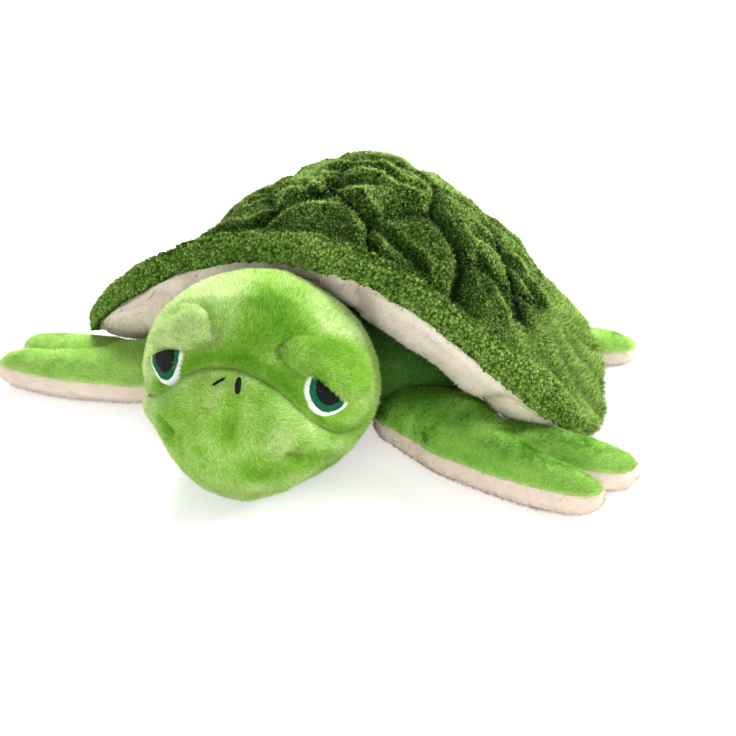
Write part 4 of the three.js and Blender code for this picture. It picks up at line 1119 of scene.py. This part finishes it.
def fuse(name, forms, voxel, seam, evening=9):
    """One skin from overlapping closed forms, by voxels, evened out, and cut at a level seam
    into two closed panels, the upper and the lower."""
    blank = bpy.data.meshes.new(name)
    grown = bmesh.new()
    for rings, poles in forms:
        part = sew("form", rings, poles)
        grown.from_mesh(part.data)
        bpy.data.objects.remove(part)
    grown.to_mesh(blank)
    grown.free()
    lump = add(name, blank)
    remesh = lump.modifiers.new("fuse", "REMESH")
    remesh.mode, remesh.voxel_size, remesh.use_smooth_shade = "VOXEL", voxel / 1000, True
    evaluated = lump.evaluated_get(bpy.context.evaluated_depsgraph_get())
    smooth = bmesh.new()
    smooth.from_mesh(bpy.data.meshes.new_from_object(evaluated))
    bpy.data.objects.remove(lump)
    for _ in range(evening):
        bmesh.ops.smooth_vert(
            smooth, verts=smooth.verts, factor=0.5, use_axis_x=True, use_axis_y=True, use_axis_z=True,
        )
    for corner in smooth.verts:
        corner.co.z = max(corner.co.z, 0)
    panels = []
    for label, keep_upper in (("top", True), ("sole", False)):
        half = smooth.copy()
        bmesh.ops.bisect_plane(
            half, geom=half.verts[:] + half.edges[:] + half.faces[:], dist=1e-6, plane_co=(0, 0, seam / 1000),
            plane_no=(0, 0, 1), clear_outer=not keep_upper, clear_inner=keep_upper,
        )
        rim = [edge for edge in half.edges if edge.is_boundary]
        bmesh.ops.holes_fill(half, edges=rim, sides=0)
        for edge in rim:
            edge.smooth = False
        mesh = bpy.data.meshes.new(f"{name}_{label}")
        half.to_mesh(mesh)
        half.free()
        mesh.polygons.foreach_set("use_smooth", np.ones(len(mesh.polygons), bool))
        panels.append(add(f"{name}_{label}", mesh))
    smooth.free()
    return panels


def limb(body, seam, panels, under, out_way, counts, seed):
    """Finishes a limb's two panels: slack drifts, gathers along the seam, fields and pile."""
    for piece, slot, paint, nodes, count in (
        (panels[0], "leaf_plush", leaf_plush, (f"{body}_top", f"{body}_filling"), counts[0]),
        (panels[1], "cream_plush", cream_plush, (f"{body}_{under}",), counts[1]),
    ):
        places, normals, _ = read(piece)
        level = np.abs(places[:, 2] - seam)
        off_seam, off_floor = ramp(level, 0, 5), ramp(places[:, 2], 0, 3)
        slack = 0.8 * drift(places, 22, seed + 1) * off_seam
        slack = slack + 0.4 * drift(places, 6, seed + 2) * hump(level, 4, 3)
        bulge = 2.6 * hump(places[:, 2] / seam, 0.55, 0.4) if slot == "cream_plush" else -1.4 * off_seam
        places += normals * ((slack + bulge) * off_floor)[:, None]
        places[:, 2] = np.maximum(places[:, 2], 0)
        move(piece, places)
        tone = 0.12 * drift(places, 15, seed + 3) + 0.08 * drift(places, 5, seed + 5)
        # A highlight is painted along the green top's edge at the seam.
        if slot == "leaf_plush":
            tone = tone + 0.5 * hump(level, 0, 1.8)
        mark(piece, crest=0.3 + 0.15 * drift(places, 2.4, seed + 2), shade=tone)
        dress(piece, body, paint, nodes)
        shown = (np.abs(places[:, 2] - seam) > 0.02) * (places[:, 2] > 0.3)
        locks = pile(f"{piece.name}_pile", piece, count, 2.2, 0.5, 0.95, out_way, shown, seed + 4)
        dress(locks, body, paint)


front_seam, rear_seam, tail_seam = 14, 9, 6
for name, side in halves:
    hub = np.array([side * 68, 38, 14.0])
    lie = side * math.radians(2)

    def lain(x, y):
        """A place of the flipper, turned a little about the shoulder as the toy lies."""
        dx, dy = side * x - hub[0], y - hub[1]
        across, back = dx * math.cos(lie) - dy * math.sin(lie), dx * math.sin(lie) + dy * math.cos(lie)
        return hub[0] + across, hub[1] + back, front_seam

    front_path = [lain(68, 38), lain(126, 3), lain(184, -8)]
    rear_path = [lain(88, 34), lain(140, 29), lain(192, 24)]
    front_rings = lobe(front_path, 22, [1, 1, 0.72, 0.6, 0.6], 18, [0.8, 1, 0.8, 0.65, 0.6], 14.5, 60, 60)
    rear_rings = lobe(rear_path, 17, [0.7, 0.9, 1, 1], 9, [1, 1, 0.95, 0.8], 14.5, 50, 50)
    panels = fuse(f"{name}_front_flipper", [
        oval(hub, 25, 15.5), oval(lain(80, 33), 26, 18), oval(lain(92, 27), 26, 20),
        oval(lain(108, 17), 21, 18), (front_rings, front_path[::2]), (rear_rings, rear_path[::2]),
    ], 1.15, front_seam, 44)
    outwards = towards(side, -0.25, 0)
    limb(f"{name}_front_flipper", front_seam, panels, "sole", outwards, (57000, 20000), 110 + 10 * side)

    hip, tip = np.array([side * 80, 180, 9.0]), np.array([side * 138, 198, 9.0])
    rings = lobe([hip, (hip + tip) / 2, tip], 17, [0.9, 1, 0.95, 0.8], 10, [0.9, 1, 0.95, 0.8], 9.5, 40, 48)
    panels = fuse(f"{name}_rear_flipper", [oval(hip, 18, 10), (rings, [hip, tip])], 1.0, rear_seam)
    outwards = towards(side, 0.3, 0)
    limb(f"{name}_rear_flipper", rear_seam, panels, "sole", outwards, (20000, 9000), 150 + 10 * side)

root, tip = np.array([0, 208, 6.0]), np.array([0, 258, 6.0])
rings = lobe([root, (root + tip) / 2, tip], 12, [1, 0.9, 0.7, 0.4], 7, [1, 0.9, 0.7, 0.4], 6.5, 36, 40)
panels = fuse("tail", [oval(root, 12, 7), (rings, [root, tip])], 0.9, tail_seam)
limb("tail", tail_seam, panels, "underside", backwards, (8000, 4000), 180)
